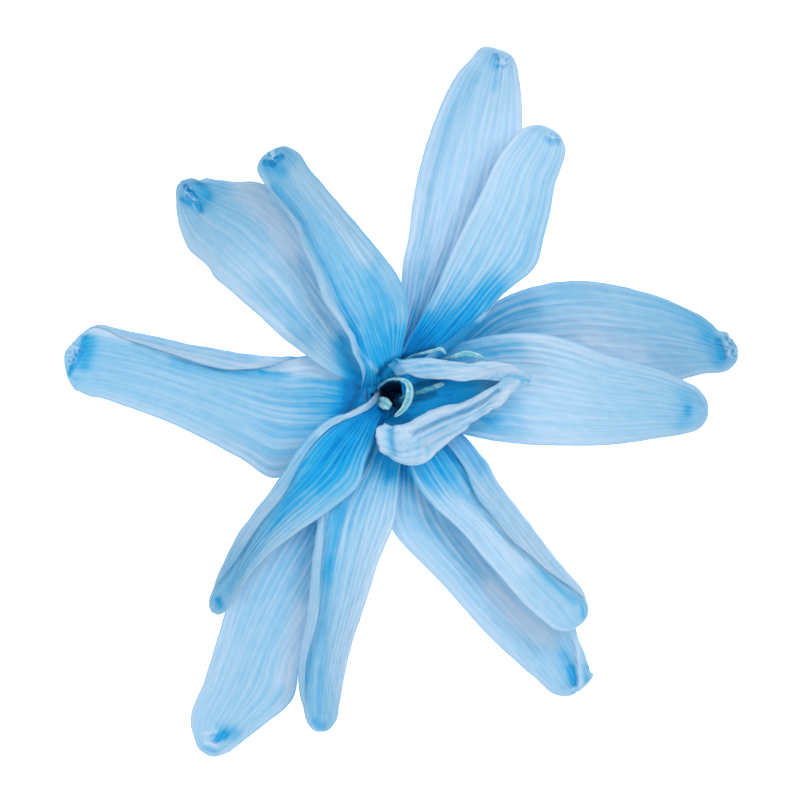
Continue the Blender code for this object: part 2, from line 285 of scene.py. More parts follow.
TEPALS["petal_back_right"] = Tepal(
    sections=(
        (2.0, 1.4, 4.2, 2.2), (5.4, 2.6, 4.3, 2.8), (8.6, 4.5, 3.8, 3.8), (12.8, 5.05, 2.5, 4.6),
        (17.6, 4.95, 1.3, 4.3), (21.6, 4.65, 0.5, 3.3), (24.3, 4.2, 0.2, 2.2), (26.1, 3.9, 0.2, 1.6),
        (27.0, 3.9, 0.6, 1.2),
    ),
    tilt=0.3,
    seed=12,
    veins=15,
    dye=(0.92, 0.27, 0.44),
    dull=(0.65, 0.95),
    reach=0.25,
    side=0.06,
    droop=(1.4, 0.0),
    pushes=(
        Push(0.24, LEFT, -0.2, 0.06), Push(0.955, LEFT, 0.1, 0.03), Push(0.87, LEFT, 0.2, 0.04),
        Push(0.93, LEFT, -0.25, 0.02), Push(0.91, RIGHT, -0.2, 0.07),
    ),
    lines=(
        Line(((25.4, 4.9), (25.6, 4.3), (25.8, 3.6)), 0.26, depth=0.28, dye=0.3),
        Line(((24.4, 5.0), (25.2, 4.2), (25.4, 3.2)), 0.7, depth=0.05, dye=0.2),
        # Painted shade along the turned-down top margin
        Line(((12.6, 9.2), (17.4, 9.2), (22.2, 7.6), (24.8, 6.0)), 0.8, dye=0.14, shade=0.05),
        # Painted light on the part of D that E shades
        Line(((15.0, 4.9), (19.0, 3.8)), 0.9, dye=-0.25),
        # Painted shade where C shades D's base
        Line(((6.6, 5.6), (10.0, 7.6)), 1.5, dye=0.12, shade=0.2),
    ),
    tufts=(Tuft(26.3, 5.0, 0.45, 5), Tuft(26.5, 4.0, 0.5, 6)),
)

TEPALS["petal_back_lower_right"] = Tepal(
    sections=(
        (0.6, -2.0, 4.2, 1.0), (2.1, -5.8, 4.2, 2.4), (3.8, -9.8, 3.4, 3.4), (6.8, -13.7, 2.2, 3.5),
        (10.1, -17.3, 1.0, 3.3), (12.2, -20.2, 0.3, 2.6), (13.4, -22.2, 0.2, 1.9),
        (14.1, -23.3, 0.6, 1.5),
    ),
    seed=13,
    veins=13,
    dye=(0.74, 0.32, 0.38),
    side=0.06,
    pushes=(
        Push(0.24, RIGHT, 1.3, 0.1), Push(0.5, RIGHT, -0.25, 0.15), Push(0.86, LEFT, -0.25, 0.06),
        Push(0.985, LEFT, 0.7, 0.013),
    ),
    lines=(
        Line(((13.6, -21.4), (13.8, -22.6)), 0.26, depth=0.35, dye=0.34),
        Line(((13.0, -20.4), (13.6, -22.2)), 0.65, depth=0.08, dye=0.2),
        Line(((14.1, -19.0), (14.4, -22.8)), 0.2, depth=-0.15, dye=-0.2),
        Line(((14.8, -21.2), (15.0, -22.8)), 0.3, depth=0.05, dye=0.22),
        Line(((2.2, -9.4), (6.2, -14.6), (11.0, -19.8)), 0.9, depth=0.28, dye=0.1),
        # Painted shade where F shades G
        Line(((1.4, -5.0), (4.6, -11.2), (8.4, -15.6)), 1.0, dye=0.07, shade=0.04),
        # Painted light on the part of G that F shades
        Line(((7.2, -15.0), (9.2, -17.2), (11.2, -18.8)), 0.9, dye=-0.3),
        Line(((-0.2, -4.8), (0.4, -5.8)), 0.8, dye=0.2),
    ),
    tufts=(Tuft(13.9, -23.3, 0.35, 3),),
)

TEPALS["petal_back_lower_left"] = Tepal(
    sections=(
        (-2.0, -2.0, 4.2, 1.0), (-4.6, -6.2, 4.0, 2.6), (-7.0, -11.0, 3.3, 3.8),
        (-9.8, -15.8, 2.2, 4.1), (-11.7, -19.8, 1.2, 3.5), (-13.4, -23.8, 0.3, 2.9),
        (-14.8, -26.3, 0.2, 2.2), (-15.3, -27.3, 0.2, 1.7), (-15.85, -28.25, 0.6, 1.3),
    ),
    seed=14,
    veins=15,
    veining=(1.3, 1.0),
    dye=(0.8, 0.38, 0.36),
    dull=(0.0, 0.2),
    reach=0.3,
    side=0.05,
    pushes=(Push(0.92, RIGHT, 0.25, 0.06), Push(0.77, LEFT, 1.05, 0.072), Push(0.65, RIGHT, -0.28, 0.18)),
    lines=(
        # Painted light on the part of I that H shades
        Line(((-8.2, -16.8), (-8.9, -20.0), (-9.4, -22.2)), 0.8, dye=-0.26),
        Line(((-14.9, -27.1), (-14.3, -26.8)), 0.28, depth=0.3, dye=0.4),
        Line(((-14.7, -26.6), (-13.7, -26.6)), 0.65, depth=0.08, dye=0.28),
        Line(((-6.2, -8.0), (-6.8, -13.0), (-7.4, -19.0)), 1.0, dye=0.08),
        Line(((-15.8, -27.4), (-15.0, -27.7)), 0.18, depth=-0.2, dye=-0.35),
        Line(((-15.7, -26.7), (-15.0, -26.5)), 0.32, depth=-0.1, dye=-0.2),
        Line(((-15.9, -27.8), (-15.0, -28.1)), 0.2, depth=0.1, dye=0.2),
    ),
    tufts=(Tuft(-15.4, -26.6, 0.5, 4),),
)

TEPALS["petal_back_left"] = Tepal(
    sections=(
        (-2.2, -0.4, 4.3, 2.3), (-3.8, -0.8, 4.1, 3.2), (-6.7, -1.2, 3.4, 4.3), (-9.9, -1.0, 2.5, 4.6),
        (-13.6, 0.2, 1.6, 3.9), (-17.8, 1.6, 0.8, 3.3), (-22.2, 2.8, 0.3, 2.9), (-25.0, 3.2, 0.2, 2.75),
        (-26.2, 3.2, 0.3, 2.2), (-27.1, 3.1, 0.8, 1.8),
    ),
    cup=(0.2, 0.5, 0.4),
    right=Fold(
        (
            (0.25, 0.0), (0.3, 0.08), (0.35, 0.3), (0.41, 0.85), (0.46, 1.25), (0.52, 1.35),
            (0.64, 1.15), (0.75, 0.85), (0.86, 0.35), (0.92, 0.0),
        ),
        radius=0.18,
    ),
    seed=15,
    veins=15,
    veining=(0.9, 1.0),
    calm=0.14,
    dye=(0.9, 0.42, 0.46),
    dull=(0.2, 0.1),
    reach=0.2,
    side=-0.06,
    pushes=(
        Push(0.8, LEFT, 0.15, 0.15), Push(0.6, RIGHT, -0.22, 0.22), Push(0.18, RIGHT, 0.55, 0.08),
        Push(0.295, LEFT, 0.5, 0.035), Push(0.37, LEFT, -0.15, 0.04), Push(0.87, LEFT, -0.25, 0.05),
        Push(0.985, LEFT, 0.6, 0.02), Push(0.9, RIGHT, 0.15, 0.03), Push(0.975, RIGHT, -0.45, 0.025),
    ),
    lines=(
        Line(((-25.5, 5.1), (-25.7, 4.2), (-26.3, 3.2), (-26.8, 2.2)), 0.22, depth=0.28, dye=0.3),
        Line(((-25.0, 5.2), (-25.2, 4.0), (-25.6, 3.0)), 0.6, depth=0.05, dye=0.26),
        Line(((-11.2, 2.4), (-8.2, 1.9), (-4.6, 1.4)), 0.35, depth=0.12, dye=0.2),
        Line(((-10.4, 3.3), (-8.6, 2.9)), 0.9, dye=-0.14),
        Line(((-8.2, 2.7), (-5.4, 2.2)), 1.0, dye=-0.4),
        # Painted shade in the dark gap beside J's rolled strip, with deeper dye
        Line(((-3.1, 1.9), (-3.6, 0.6), (-4.3, -0.9)), 0.28, dye=0.3, shade=0.36),
        Line(((-4.1, 1.0), (-4.4, -0.4), (-5.0, -1.4)), 0.7, dye=0.3, shade=0.04),
        # Painted highlight along the lit lip of the rolled flap
        Line(
            ((-24.3, 5.8), (-20.2, 4.4), (-17.8, 3.7), (-13.8, 2.7), (-12.4, 2.7), (-10.6, 3.4)),
            0.3, dye=-0.45, on="flap",
        ),
        # Painted shadow under the flap's edge, as deeper dye
        Line(((-18.2, 3.2), (-13.8, 2.4), (-11.4, 2.5)), 0.45, dye=0.16),
        Line(((-24.8, 5.9), (-22.2, 5.4)), 0.6, dye=-0.35),
        Line(((-14.0, -3.2), (-11.2, -4.6), (-9.0, -5.4)), 1.3, shade=0.06),
    ),
    tufts=(Tuft(-26.3, 4.3, 0.45, 4), Tuft(-26.6, 3.5, 0.45, 4)),
)

TEPALS["petal_back_upper_left"] = Tepal(
    sections=(
        (-1.4, 1.6, 4.3, 1.3), (-2.6, 2.6, 4.3, 1.5), (-4.6, 4.1, 4.6, 2.1), (-6.8, 6.9, 4.6, 3.2),
        (-9.8, 10.9, 3.6, 4.0), (-12.6, 13.8, 2.2, 4.1), (-15.0, 15.3, 0.9, 3.35),
        (-16.3, 16.2, 0.3, 2.35), (-17.1, 16.9, 0.3, 1.5), (-17.9, 17.6, 0.6, 0.75),
    ),
    seed=16,
    veins=15,
    veining=(1.1, 1.0),
    calm=0.34,
    dye=(0.9, 0.36, 0.45),
    dull=(0.2, 1.0),
    reach=0.12,
    side=-0.14,
    droop=(0.0, 0.4),
    pushes=(
        Push(0.86, LEFT, 0.42, 0.06), Push(0.68, LEFT, 0.3, 0.09), Push(0.54, LEFT, 0.12, 0.06),
        Push(0.35, LEFT, -0.05, 0.12), Push(0.84, RIGHT, -0.5, 0.07), Push(0.94, RIGHT, 0.1, 0.02),
    ),
    lines=(
        # Painted light on the part of A that L shades
        Line(((-12.4, 17.0), (-10.5, 15.2), (-8.8, 12.4)), 1.2, dye=-0.36),
        Line(((-8.0, 4.9), (-5.8, 3.9)), 1.2, dye=0.06, shade=0.12),
        Line(((-4.0, 1.8), (-4.5, 3.4), (-4.9, 4.8)), 0.8, dye=0.34),
        Line(((-11.2, 8.6), (-9.0, 6.8), (-7.8, 5.4)), 1.3, dye=0.16, shade=0.05),
        Line(((-17.4, 17.3), (-17.0, 16.4)), 0.18, depth=0.26, dye=0.34),
        Line(((-16.9, 16.8), (-16.2, 15.4)), 0.2, depth=0.26, dye=0.34),
        Line(((-17.7, 16.3), (-17.1, 15.9)), 0.2, depth=0.15, dye=0.24),
        Line(((-16.9, 16.6), (-16.2, 16.0)), 0.85, depth=0.08, dye=0.22),
        Line(((-16.2, 17.5), (-15.6, 16.6)), 0.4, depth=0.12, dye=0.18),
        Line(((-16.3, 18.0), (-15.8, 17.7)), 0.28, depth=-0.3, dye=-0.05),
    ),
    tufts=(Tuft(-17.2, 16.9, 0.4, 4), Tuft(-16.7, 16.2, 0.35, 3)),
)

# Front whorl, clockwise from the top

TEPALS["petal_front_top"] = Tepal(
    sections=(
        (-0.4, 0.9, 2.8, 1.1), (0.4, 2.6, 5.2, 1.0), (3.3, 6.2, 5.9, 1.8), (6.9, 11.2, 6.5, 3.0),
        (9.0, 15.4, 6.3, 3.0), (9.9, 18.2, 5.7, 2.6), (11.0, 20.3, 5.2, 2.2), (11.4, 21.2, 5.1, 1.9),
        (11.7, 21.9, 5.4, 1.6),
    ),
    cup=(0.5, 0.7, 0.4),
    right=Fold(((0.02, 0.0), (0.1, 0.4), (0.28, 0.4), (0.42, 0.0))),
    seed=21,
    veins=12,
    veining=(1.2, 1.0),
    dye=(0.98, 0.36, 0.34),
    dull=(0.0, 0.1),
    reach=0.3,
    side=-0.08,
    pushes=(Push(0.75, RIGHT, -0.2, 0.15), Push(0.58, RIGHT, 0.4, 0.06), Push(0.45, RIGHT, -0.5, 0.07)),
    lines=(
        Line(((5.6, 5.8), (4.6, 4.8), (3.4, 3.8)), 0.7, dye=1.5, on="flap", shade=0.1),
        Line(((0.8, 4.6), (1.4, 7.0)), 0.8, dye=0.25),
        Line(((11.5, 21.0), (12.0, 20.7), (12.4, 20.8)), 0.22, depth=0.18, dye=0.2),
        Line(((1.6, 4.2), (3.8, 5.9), (5.8, 7.8), (7.4, 9.1)), 1.2, depth=0.3, dye=0.27),
        # Painted shade in the dark gap between C's base and the inner petal's upper band
        Line(((-1.2, 2.9), (-0.8, 3.3), (1.0, 3.7), (2.4, 4.3)), 0.24, depth=0.15, dye=0.3, shade=0.6),
    ),
    tufts=(Tuft(12.1, 21.2, 0.35, 3),),
    slot="front_tepal",
)

TEPALS["petal_front_right"] = Tepal(
    sections=(
        (1.2, 0.8, 5.2, 1.7), (3.2, 1.0, 5.4, 3.1), (5.8, 1.1, 5.6, 3.9), (10.2, 1.05, 5.5, 4.45),
        (15.8, 0.15, 4.7, 3.65), (20.2, -0.2, 3.8, 2.8), (22.6, -0.5, 3.3, 2.1), (23.7, -0.6, 3.2, 1.7),
        (24.5, -0.6, 3.5, 1.4),
    ),
    cup=(0.3, 0.6, 0.4),
    seed=22,
    veins=16,
    veining=(0.95, 1.0),
    calm=0.25,
    dye=(0.64, 0.27, 0.42),
    dull=(0.1, 0.6),
    reach=0.2,
    lines=(
        Line(((3.0, 3.3), (6.0, 4.2), (8.6, 4.4)), 1.3, dye=0.24, shade=0.05),
        Line(((7.0, -1.4), (8.8, -0.4)), 0.9, dye=0.2),
        # Painted shade where the inner petal shades E
        Line(((5.6, -2.2), (7.2, -2.2), (9.0, -2.4)), 1.1, dye=0.16, shade=0.05),
        Line(((22.9, -0.5), (22.9, -0.9)), 0.28, depth=0.2, dye=0.2),
        Line(((22.6, 0.4), (22.9, -0.7), (22.5, -1.7)), 0.8, depth=0.08, dye=0.14),
    ),
    slot="front_tepal",
)

TEPALS["petal_front_lower_right"] = Tepal(
    sections=(
        (0.7, -1.1, 5.2, 0.75), (2.7, -4.1, 5.3, 2.5), (4.3, -6.7, 5.4, 2.7), (7.6, -10.3, 5.0, 2.4),
        (10.6, -14.0, 4.2, 2.2), (12.8, -16.2, 3.6, 2.0), (13.5, -17.2, 3.5, 1.7),
        (14.0, -18.0, 3.8, 1.4),
    ),
    cup=(0.2, 0.5, 0.4),
    left=Fold(
        (
            (0.02, 0.0), (0.1, 1.1), (0.22, 1.5), (0.42, 1.85), (0.6, 1.75), (0.76, 1.15), (0.87, 0.45),
            (0.93, 0.0),
        ),
        radius=0.16,
    ),
    flap_dye=-0.26,
    seed=23,
    veins=12,
    dye=(1.0, 0.46, 0.38),
    dull=(0.0, 0.15),
    reach=0.29,
    side=0.1,
    pushes=(
        Push(0.3, LEFT, 0.3, 0.09), Push(0.52, LEFT, -0.1, 0.08), Push(0.86, LEFT, -0.15, 0.06),
        Push(0.4, RIGHT, -0.5, 0.12), Push(0.68, RIGHT, -0.22, 0.11),
    ),
    lines=(
        Line(((4.0, -8.0), (6.0, -9.4), (9.6, -12.8)), 1.2, dye=-0.24),
        Line(((4.6, -2.6), (6.2, -5.0)), 1.0, dye=0.5, on="flap"),
        Line(((5.6, -7.4), (7.6, -10.1), (10.9, -13.4), (13.8, -16.0)), 0.3, depth=0.1, dye=0.16),
        Line(((14.5, -15.4), (14.6, -17.2)), 0.3, dye=0.2),
        Line(((6.6, -3.0), (10.2, -7.8), (13.8, -12.6), (15.2, -15.4)), 0.85, dye=-0.45, on="flap"),
    ),
    slot="front_tepal",
)

TEPALS["petal_front_bottom"] = Tepal(
    sections=(
        (-0.6, -0.4, 4.8, 1.1), (-2.0, -5.3, 5.3, 1.9), (-3.2, -8.6, 5.3, 3.0), (-4.3, -12.6, 4.9, 2.7),
        (-5.2, -16.6, 4.2, 2.2), (-6.2, -21.0, 3.3, 1.8), (-6.5, -24.2, 2.8, 1.5),
        (-6.5, -25.6, 2.7, 1.3), (-6.5, -26.4, 3.0, 1.1),
    ),
    cup=(0.2, 0.5, 0.4),
    right=Fold(((0.26, 0.0), (0.4, 0.42), (0.69, 0.62), (0.86, 0.35), (0.95, 0.0)), radius=0.26),
    flap_dye=-0.12,
    seed=24,
    veins=12,
    dye=(0.88, 0.33, 0.44),
    dull=(0.0, 0.5),
    reach=0.26,
    side=-0.16,
    pushes=(
        Push(0.42, LEFT, -0.4, 0.15), Push(0.67, LEFT, -0.18, 0.12), Push(0.81, RIGHT, 0.2, 0.08),
        Push(0.94, RIGHT, -0.12, 0.05),
    ),
    lines=(
        Line(((-1.4, -4.4), (-0.9, -5.8)), 0.9, dye=0.24),
        Line(((-5.0, -8.4), (-5.4, -11.0), (-5.9, -14.0)), 0.7, dye=0.14),
        Line(((-5.8, -12.6), (-6.4, -19.0), (-6.6, -24.8)), 0.5, depth=0.15, dye=0.1),
        Line(((-7.0, -25.6), (-6.4, -26.0)), 0.4, depth=0.12, dye=0.18),
        Line(((-6.4, -9.4), (-7.0, -15.8), (-7.7, -22.2)), 0.3, depth=0.1, dye=0.08),
        # Deeper dye and painted shade below the staminode scale
        Line(((-2.2, -0.6), (-1.6, -1.5), (0.0, -2.0)), 0.55, dye=0.3, shade=0.15),
        Line(((-1.6, -0.3), (0.2, -0.9)), 0.6, dye=0.2, shade=0.2),
    ),
    slot="front_tepal",
)

TEPALS["petal_front_lower_left"] = Tepal(
    sections=(
        (-1.2, 0.6, 2.6, 1.3), (-1.9, 0.1, 5.2, 1.1), (-4.5, -2.9, 6.6, 2.2), (-6.7, -5.8, 6.8, 2.7),
        (-9.8, -8.8, 6.2, 2.2), (-12.2, -11.8, 5.3, 1.4), (-13.8, -14.5, 4.6, 1.0),
        (-14.6, -16.1, 4.4, 0.9), (-15.0, -16.9, 4.6, 0.75),
    ),
    cup=(0.2, 0.4, 0.2),
    right=Fold(
        ((0.0, 0.24), (0.12, 0.3), (0.3, 0.58), (0.5, 0.85), (0.78, 0.65), (0.93, 0.0)),
        radius=0.22,
    ),
    seed=25,
    veins=12,
    dye=(0.98, 0.48, 0.46),
    dull=(0.0, 1.0),
    reach=0.36,
    side=-0.1,
    pushes=(Push(0.53, RIGHT, -0.75, 0.16), Push(0.08, RIGHT, -0.72, 0.12), Push(0.32, LEFT, 0.45, 0.06)),
    lines=(
        Line(((-10.0, -7.6), (-12.4, -10.6)), 0.8, dye=-0.3, on="flap"),
        Line(((-4.6, -4.2), (-6.4, -6.4)), 0.9, dye=0.16),
        Line(((-1.8, 0.9), (-3.0, -0.2), (-4.6, -1.6), (-6.2, -2.6)), 0.5, dye=-0.75, on="flap"),
        Line(((-14.7, -15.8), (-14.5, -16.3)), 0.3, depth=0.12, dye=0.28),
        Line(((-5.0, -3.0), (-9.0, -7.8), (-13.8, -15.0)), 0.35, depth=0.1, dye=0.12),
        Line(((-2.6, -1.8), (-5.8, -5.4), (-9.4, -9.4)), 0.9, dye=0.08),
        Line(((-2.3, -0.7), (-1.9, -1.1)), 0.4, dye=0.6),
    ),
    slot="front_tepal",
)

TEPALS["petal_front_upper_left"] = Tepal(
    sections=(
        (-0.9, 0.9, 3.2, 1.3), (-1.1, 2.0, 5.0, 1.1), (-2.4, 5.8, 5.8, 2.8), (-3.8, 9.0, 6.2, 3.3),
        (-5.7, 12.6, 6.0, 2.8), (-7.6, 15.6, 5.5, 2.3), (-9.1, 17.9, 5.2, 1.9), (-9.8, 19.3, 5.1, 1.75),
        (-10.2, 20.2, 5.4, 1.5),
    ),
    cup=(0.3, 0.8, 0.5),
    left=Fold(
        ((0.0, 0.04), (0.07, 0.12), (0.2, 0.26), (0.4, 0.34), (0.55, 0.28), (0.72, 0.2), (0.9, 0.0)),
        radius=0.18,
    ),
    blunt=0.7,
    seed=26,
    veins=13,
    veining=(0.8, 1.0),
    dye=(0.9, 0.46, 0.54),
    dull=(0.0, 1.0),
    reach=0.3,
    side=-0.1,
    pushes=(
        Push(0.97, RIGHT, -0.15, 0.03), Push(0.68, RIGHT, -0.18, 0.2), Push(0.3, RIGHT, 0.45, 0.12),
        Push(0.95, LEFT, 0.2, 0.06), Push(0.02, LEFT, 1.05, 0.1), Push(0.23, LEFT, -0.3, 0.04),
        Push(0.3, LEFT, -0.95, 0.11), Push(0.5, LEFT, -0.85, 0.12), Push(0.72, LEFT, -0.85, 0.12),
    ),
    lines=(
        Line(((-1.4, 10.4), (-0.4, 8.6), (0.0, 6.6)), 0.7, dye=-0.2),
        Line(((-8.2, 18.2), (-5.7, 15.4), (-3.0, 11.6)), 0.9, dye=-0.28),
        # Painted shade in the dark gap at L's base, above the inner petal's upper band
        Line(((-1.9, 2.3), (-1.3, 3.0), (-0.5, 3.4), (0.6, 3.6)), 0.2, dye=0.3, shade=0.6),
        Line(((-3.9, 4.8), (-3.0, 3.6), (-2.1, 2.5)), 0.22, depth=-0.1, dye=-0.3),
        Line(((-10.9, 19.1), (-10.3, 19.0)), 0.22, depth=0.25, dye=0.26),
        Line(((-10.3, 19.1), (-9.6, 19.6)), 0.2, depth=0.25, dye=0.26),
        Line(((-10.6, 18.6), (-9.6, 18.4)), 0.6, depth=0.05, dye=0.14),
        Line(
            ((-10.2, 17.2), (-7.9, 14.2), (-5.8, 10.2), (-4.0, 6.2), (-2.9, 3.4)),
            0.35, depth=0.22, dye=0.2,
        ),
    ),
    tufts=(Tuft(-10.4, 19.7, 0.5, 6),),
    slot="front_tepal",
)

# Boat-shaped inner petal that points right

TEPALS["inner_petal"] = Tepal(
    sections=(
        (0.1, -0.6, 5.8, 3.5), (0.8, -0.6, 6.5, 4.1), (2.5, -0.2, 7.3, 3.8), (4.5, 0.3, 7.8, 3.2),
        (6.1, 0.9, 8.0, 2.5), (7.3, 1.5, 8.2, 1.8), (8.3, 1.9, 8.4, 1.15), (9.3, 1.9, 8.6, 0.6),
        (10.1, 1.7, 8.7, 0.3),
    ),
    cup=(1.8, 1.9, 0.5),
    left=Fold(
        (
            (0.0, 0.5), (0.08, 1.05), (0.18, 1.25), (0.5, 1.45), (0.71, 1.2), (0.81, 1.15), (0.91, 0.6),
            (1.0, 0.3),
        ),
    ),
    right=Fold(
        (
            (0.0, 2.1), (0.1, 3.4), (0.3, 2.8), (0.43, 1.45), (0.6, 0.95), (0.71, 0.9), (0.81, 0.95),
            (0.91, 0.7), (1.0, 0.3),
        ),
    ),
    lobe=((1.2, 0.0), (2.1, 1.0)),
    flap_dye=-0.64,
    pushes=(Push(0.62, RIGHT, -0.5, 0.15), Push(0.46, RIGHT, -0.7, 0.17)),
    seed=31,
    veins=17,
    veining=(0.35, 1.4),
    dye=(0.93, 0.9, 0.4),
    dull=(0.0, 0.0),
    reach=0.4,
    lines=(
        # Pleats of the lower flap: crease and grooves in deeper dye with painted shade, crests painted
        # paler, partly as painted highlight
        Line(
            ((0.9, -2.5), (3.2, -1.4), (5.3, -0.6), (6.8, 0.2), (7.6, 0.9)),
            0.16, depth=-0.35, dye=0.7, on="flap", shade=0.18,
        ),
        Line(
            ((-0.2, -4.0), (1.8, -3.5), (3.8, -2.5), (5.8, -1.2), (7.4, 0.3)),
            0.11, depth=-0.12, dye=0.45, on="flap", shade=0.03,
        ),
        Line(
            ((1.4, -2.9), (3.4, -2.0), (5.6, -1.0), (7.0, -0.1)),
            0.08, depth=-0.1, dye=0.45, on="flap", shade=0.03,
        ),
        Line(
            ((-0.3, -3.0), (1.4, -2.1), (3.4, -0.9), (5.4, 0.0)),
            0.12, depth=0.1, dye=-0.25, on="flap",
        ),
        Line(
            ((2.2, -3.4), (4.6, -1.9), (7.2, -0.5), (8.2, 0.9), (9.0, 1.6)),
            0.24, depth=0.3, dye=-0.3, on="flap",
        ),
        Line(((1.0, -3.5), (3.4, -2.2), (5.8, -1.4)), 0.14, depth=-0.15, dye=0.3, on="flap"),
        Line(((0.0, -2.5), (1.4, -1.6), (3.4, -0.6)), 0.2, depth=0.12, dye=-0.3, on="flap"),
        Line(((-0.9, -2.0), (-0.9, -3.2), (-0.7, -4.0)), 0.3, depth=-0.25, dye=0.9, on="flap"),
        Line(((-2.0, -1.8), (-1.6, -3.0), (-1.4, -4.2)), 0.2, depth=0.2, dye=-0.3, on="flap"),
        Line(((-1.0, 2.3), (-0.6, 3.3)), 0.55, dye=1.2, on="flap", shade=0.05),
        Line(((0.0, 3.3), (1.4, 3.0)), 0.7, dye=0.45, on="flap"),
        Line(((7.6, 1.7), (10.2, 1.8)), 0.9, dye=0.8, on="flap"),
        Line(((-0.6, 3.4), (1.0, 3.5), (2.4, 3.6)), 0.14, dye=0.3, on="flap"),
        Line(((-0.4, 2.6), (1.4, 2.3), (3.2, 2.4)), 0.14, dye=0.35, on="flap"),
        # Painted shade on the floor of the hollow: dark gaps and shadows beside the stamen, and shade by
        # the loop
        Line(((0.4, 1.2), (2.8, 1.8)), 0.3, shade=0.6),
        Line(((0.6, 0.1), (1.6, 0.3), (2.6, 0.7)), 0.24, shade=0.5),
        Line(((0.2, -1.2), (1.6, -0.9)), 0.8, shade=0.12),
        Line(((-1.4, -1.4), (0.6, -1.5)), 0.5, shade=0.2),
        Line(((2.0, 2.9), (4.4, 3.0), (6.6, 2.8)), 0.16, depth=-0.2, dye=0.35, on="flap"),
        Line(((-1.8, -1.6), (0.0, -1.9)), 0.8, dye=0.3),
    ),
    slot="inner_petal",
)


@dataclass
class Strand:
    """Route (x, y, z, half width, half thickness) of a stamen from its root to its tip.

    anther_start is where the anther sets in along it and lobes how deep the anther's groove is.
    """

    route: tuple
    anther_start: float
    seed: int
    lobes: float = 0.25


STRANDS = {}

STRANDS["stamen_upper_left"] = Strand(
    route=(
        (-0.5, 1.7, 4.0, 0.18, 0.18), (-0.5, 1.9, 5.6, 0.17, 0.17), (-0.3, 2.8, 6.7, 0.17, 0.17),
        (0.8, 3.6, 7.9, 0.16, 0.16), (1.8, 3.9, 8.7, 0.12, 0.12), (2.6, 4.1, 9.1, 0.14, 0.14),
        (3.1, 4.2, 9.3, 0.14, 0.13), (3.5, 3.8, 9.2, 0.1, 0.1),
    ),
    anther_start=0.55,
    seed=51,
)

STRANDS["stamen_upper_right"] = Strand(
    route=(
        (0.3, 1.0, 4.0, 0.18, 0.18), (0.7, 1.4, 5.6, 0.17, 0.17), (1.7, 2.2, 6.7, 0.17, 0.17),
        (3.1, 3.2, 7.8, 0.16, 0.16), (4.1, 3.6, 8.9, 0.15, 0.16), (5.0, 3.85, 9.2, 0.22, 0.2),
        (5.9, 3.7, 9.3, 0.2, 0.2), (6.6, 3.4, 9.3, 0.1, 0.1),
    ),
    anther_start=0.5,
    seed=52,
)

STRANDS["stamen_inner"] = Strand(
    route=(
        (0.4, -0.1, 3.6, 0.16, 0.16), (-0.1, 0.2, 5.4, 0.16, 0.16), (0.4, 0.5, 7.2, 0.16, 0.16),
        (1.3, 0.75, 8.3, 0.2, 0.16), (2.3, 1.1, 8.7, 0.24, 0.16), (3.4, 1.5, 9.0, 0.16, 0.12),
    ),
    anther_start=0.88,
    seed=53,
)

STRANDS["staminode_loop"] = Strand(
    route=(
        (-1.9, 1.0, 4.0, 0.12, 0.14), (-1.75, 1.3, 6.4, 0.12, 0.14), (-1.0, 1.78, 8.2, 0.09, 0.1),
        (-0.1, 1.8, 8.9, 0.12, 0.1), (0.5, 1.4, 9.2, 0.24, 0.12), (0.6, 0.5, 9.1, 0.31, 0.12),
        (0.15, -0.5, 8.7, 0.26, 0.12), (-0.6, -1.2, 8.2, 0.12, 0.1),
    ),
    anther_start=0.3,
    lobes=1.1,
    seed=54,
)

STRANDS["staminode_scale"] = Strand(
    route=(
        (-1.9, 0.2, 4.1, 0.2, 0.16), (-1.8, 0.1, 5.6, 0.34, 0.18), (-1.4, -0.1, 6.8, 0.46, 0.18),
        (-0.9, -0.4, 7.2, 0.3, 0.14),
    ),
    anther_start=0.3,
    lobes=0.5,
    seed=55,
)


def linear(red, green, blue):
    """Linear colour of an 8-bit display colour."""
    channels = []
    for value in (red, green, blue):
        share = value / 255.0
        channels.append(share / 12.92 if share <= 0.04045 else ((share + 0.055) / 1.055) ** 2.4)
    return (*channels, 1.0)


# Geometry of a sheet

def smoothstep(low, high, value):
    """Smooth rise from 0 at low to 1 at high."""
    t = np.clip((value - low) / (high - low), 0.0, 1.0)
    return t * t * (3 - 2 * t)


def smooth_between(knots, values, at):
    """Smooth curve through the values at the knots, read at other places."""
    slopes = np.gradient(values, knots, axis=0)
    piece = np.clip(np.searchsorted(knots, at, side="right") - 1, 0, len(knots) - 2)
    span = (knots[piece + 1] - knots[piece])[:, None]
    t = (at - knots[piece])[:, None] / span
    start_weight = 2 * t**3 - 3 * t**2 + 1
    leave_weight = t**3 - 2 * t**2 + t
    arrive_weight = t**3 - t**2
    return (
        start_weight * values[piece]
        + leave_weight * span * slopes[piece]
        + (1 - start_weight) * values[piece + 1]
        + arrive_weight * span * slopes[piece + 1]
    )


def tepal_rows(blunt):
    """Places of the rows from 0 at the base to 1 at the tip, and how far each is closed in."""
    body = np.linspace(0.0, 1.0 - TIP_ROUNDING, BODY_ROWS, endpoint=False)
    angle = np.linspace(0.0, TIP_CLOSING_ANGLE, TIP_ROWS)
    tip = 1.0 - TIP_ROUNDING * (1.0 - np.sin(angle))
    closing = np.concatenate([np.ones(BODY_ROWS), np.cos(angle) ** blunt])
    return np.concatenate([body, tip]), closing


def tapered(knots, at):
    """Straight lines through (place, value) pairs, with their corners rounded off."""
    places, values = np.array(knots).T
    padded = np.pad(np.interp(at, places, values), TAPER_WINDOW // 2, mode="edge")
    return np.convolve(padded, np.ones(TAPER_WINDOW) / TAPER_WINDOW, mode="valid")


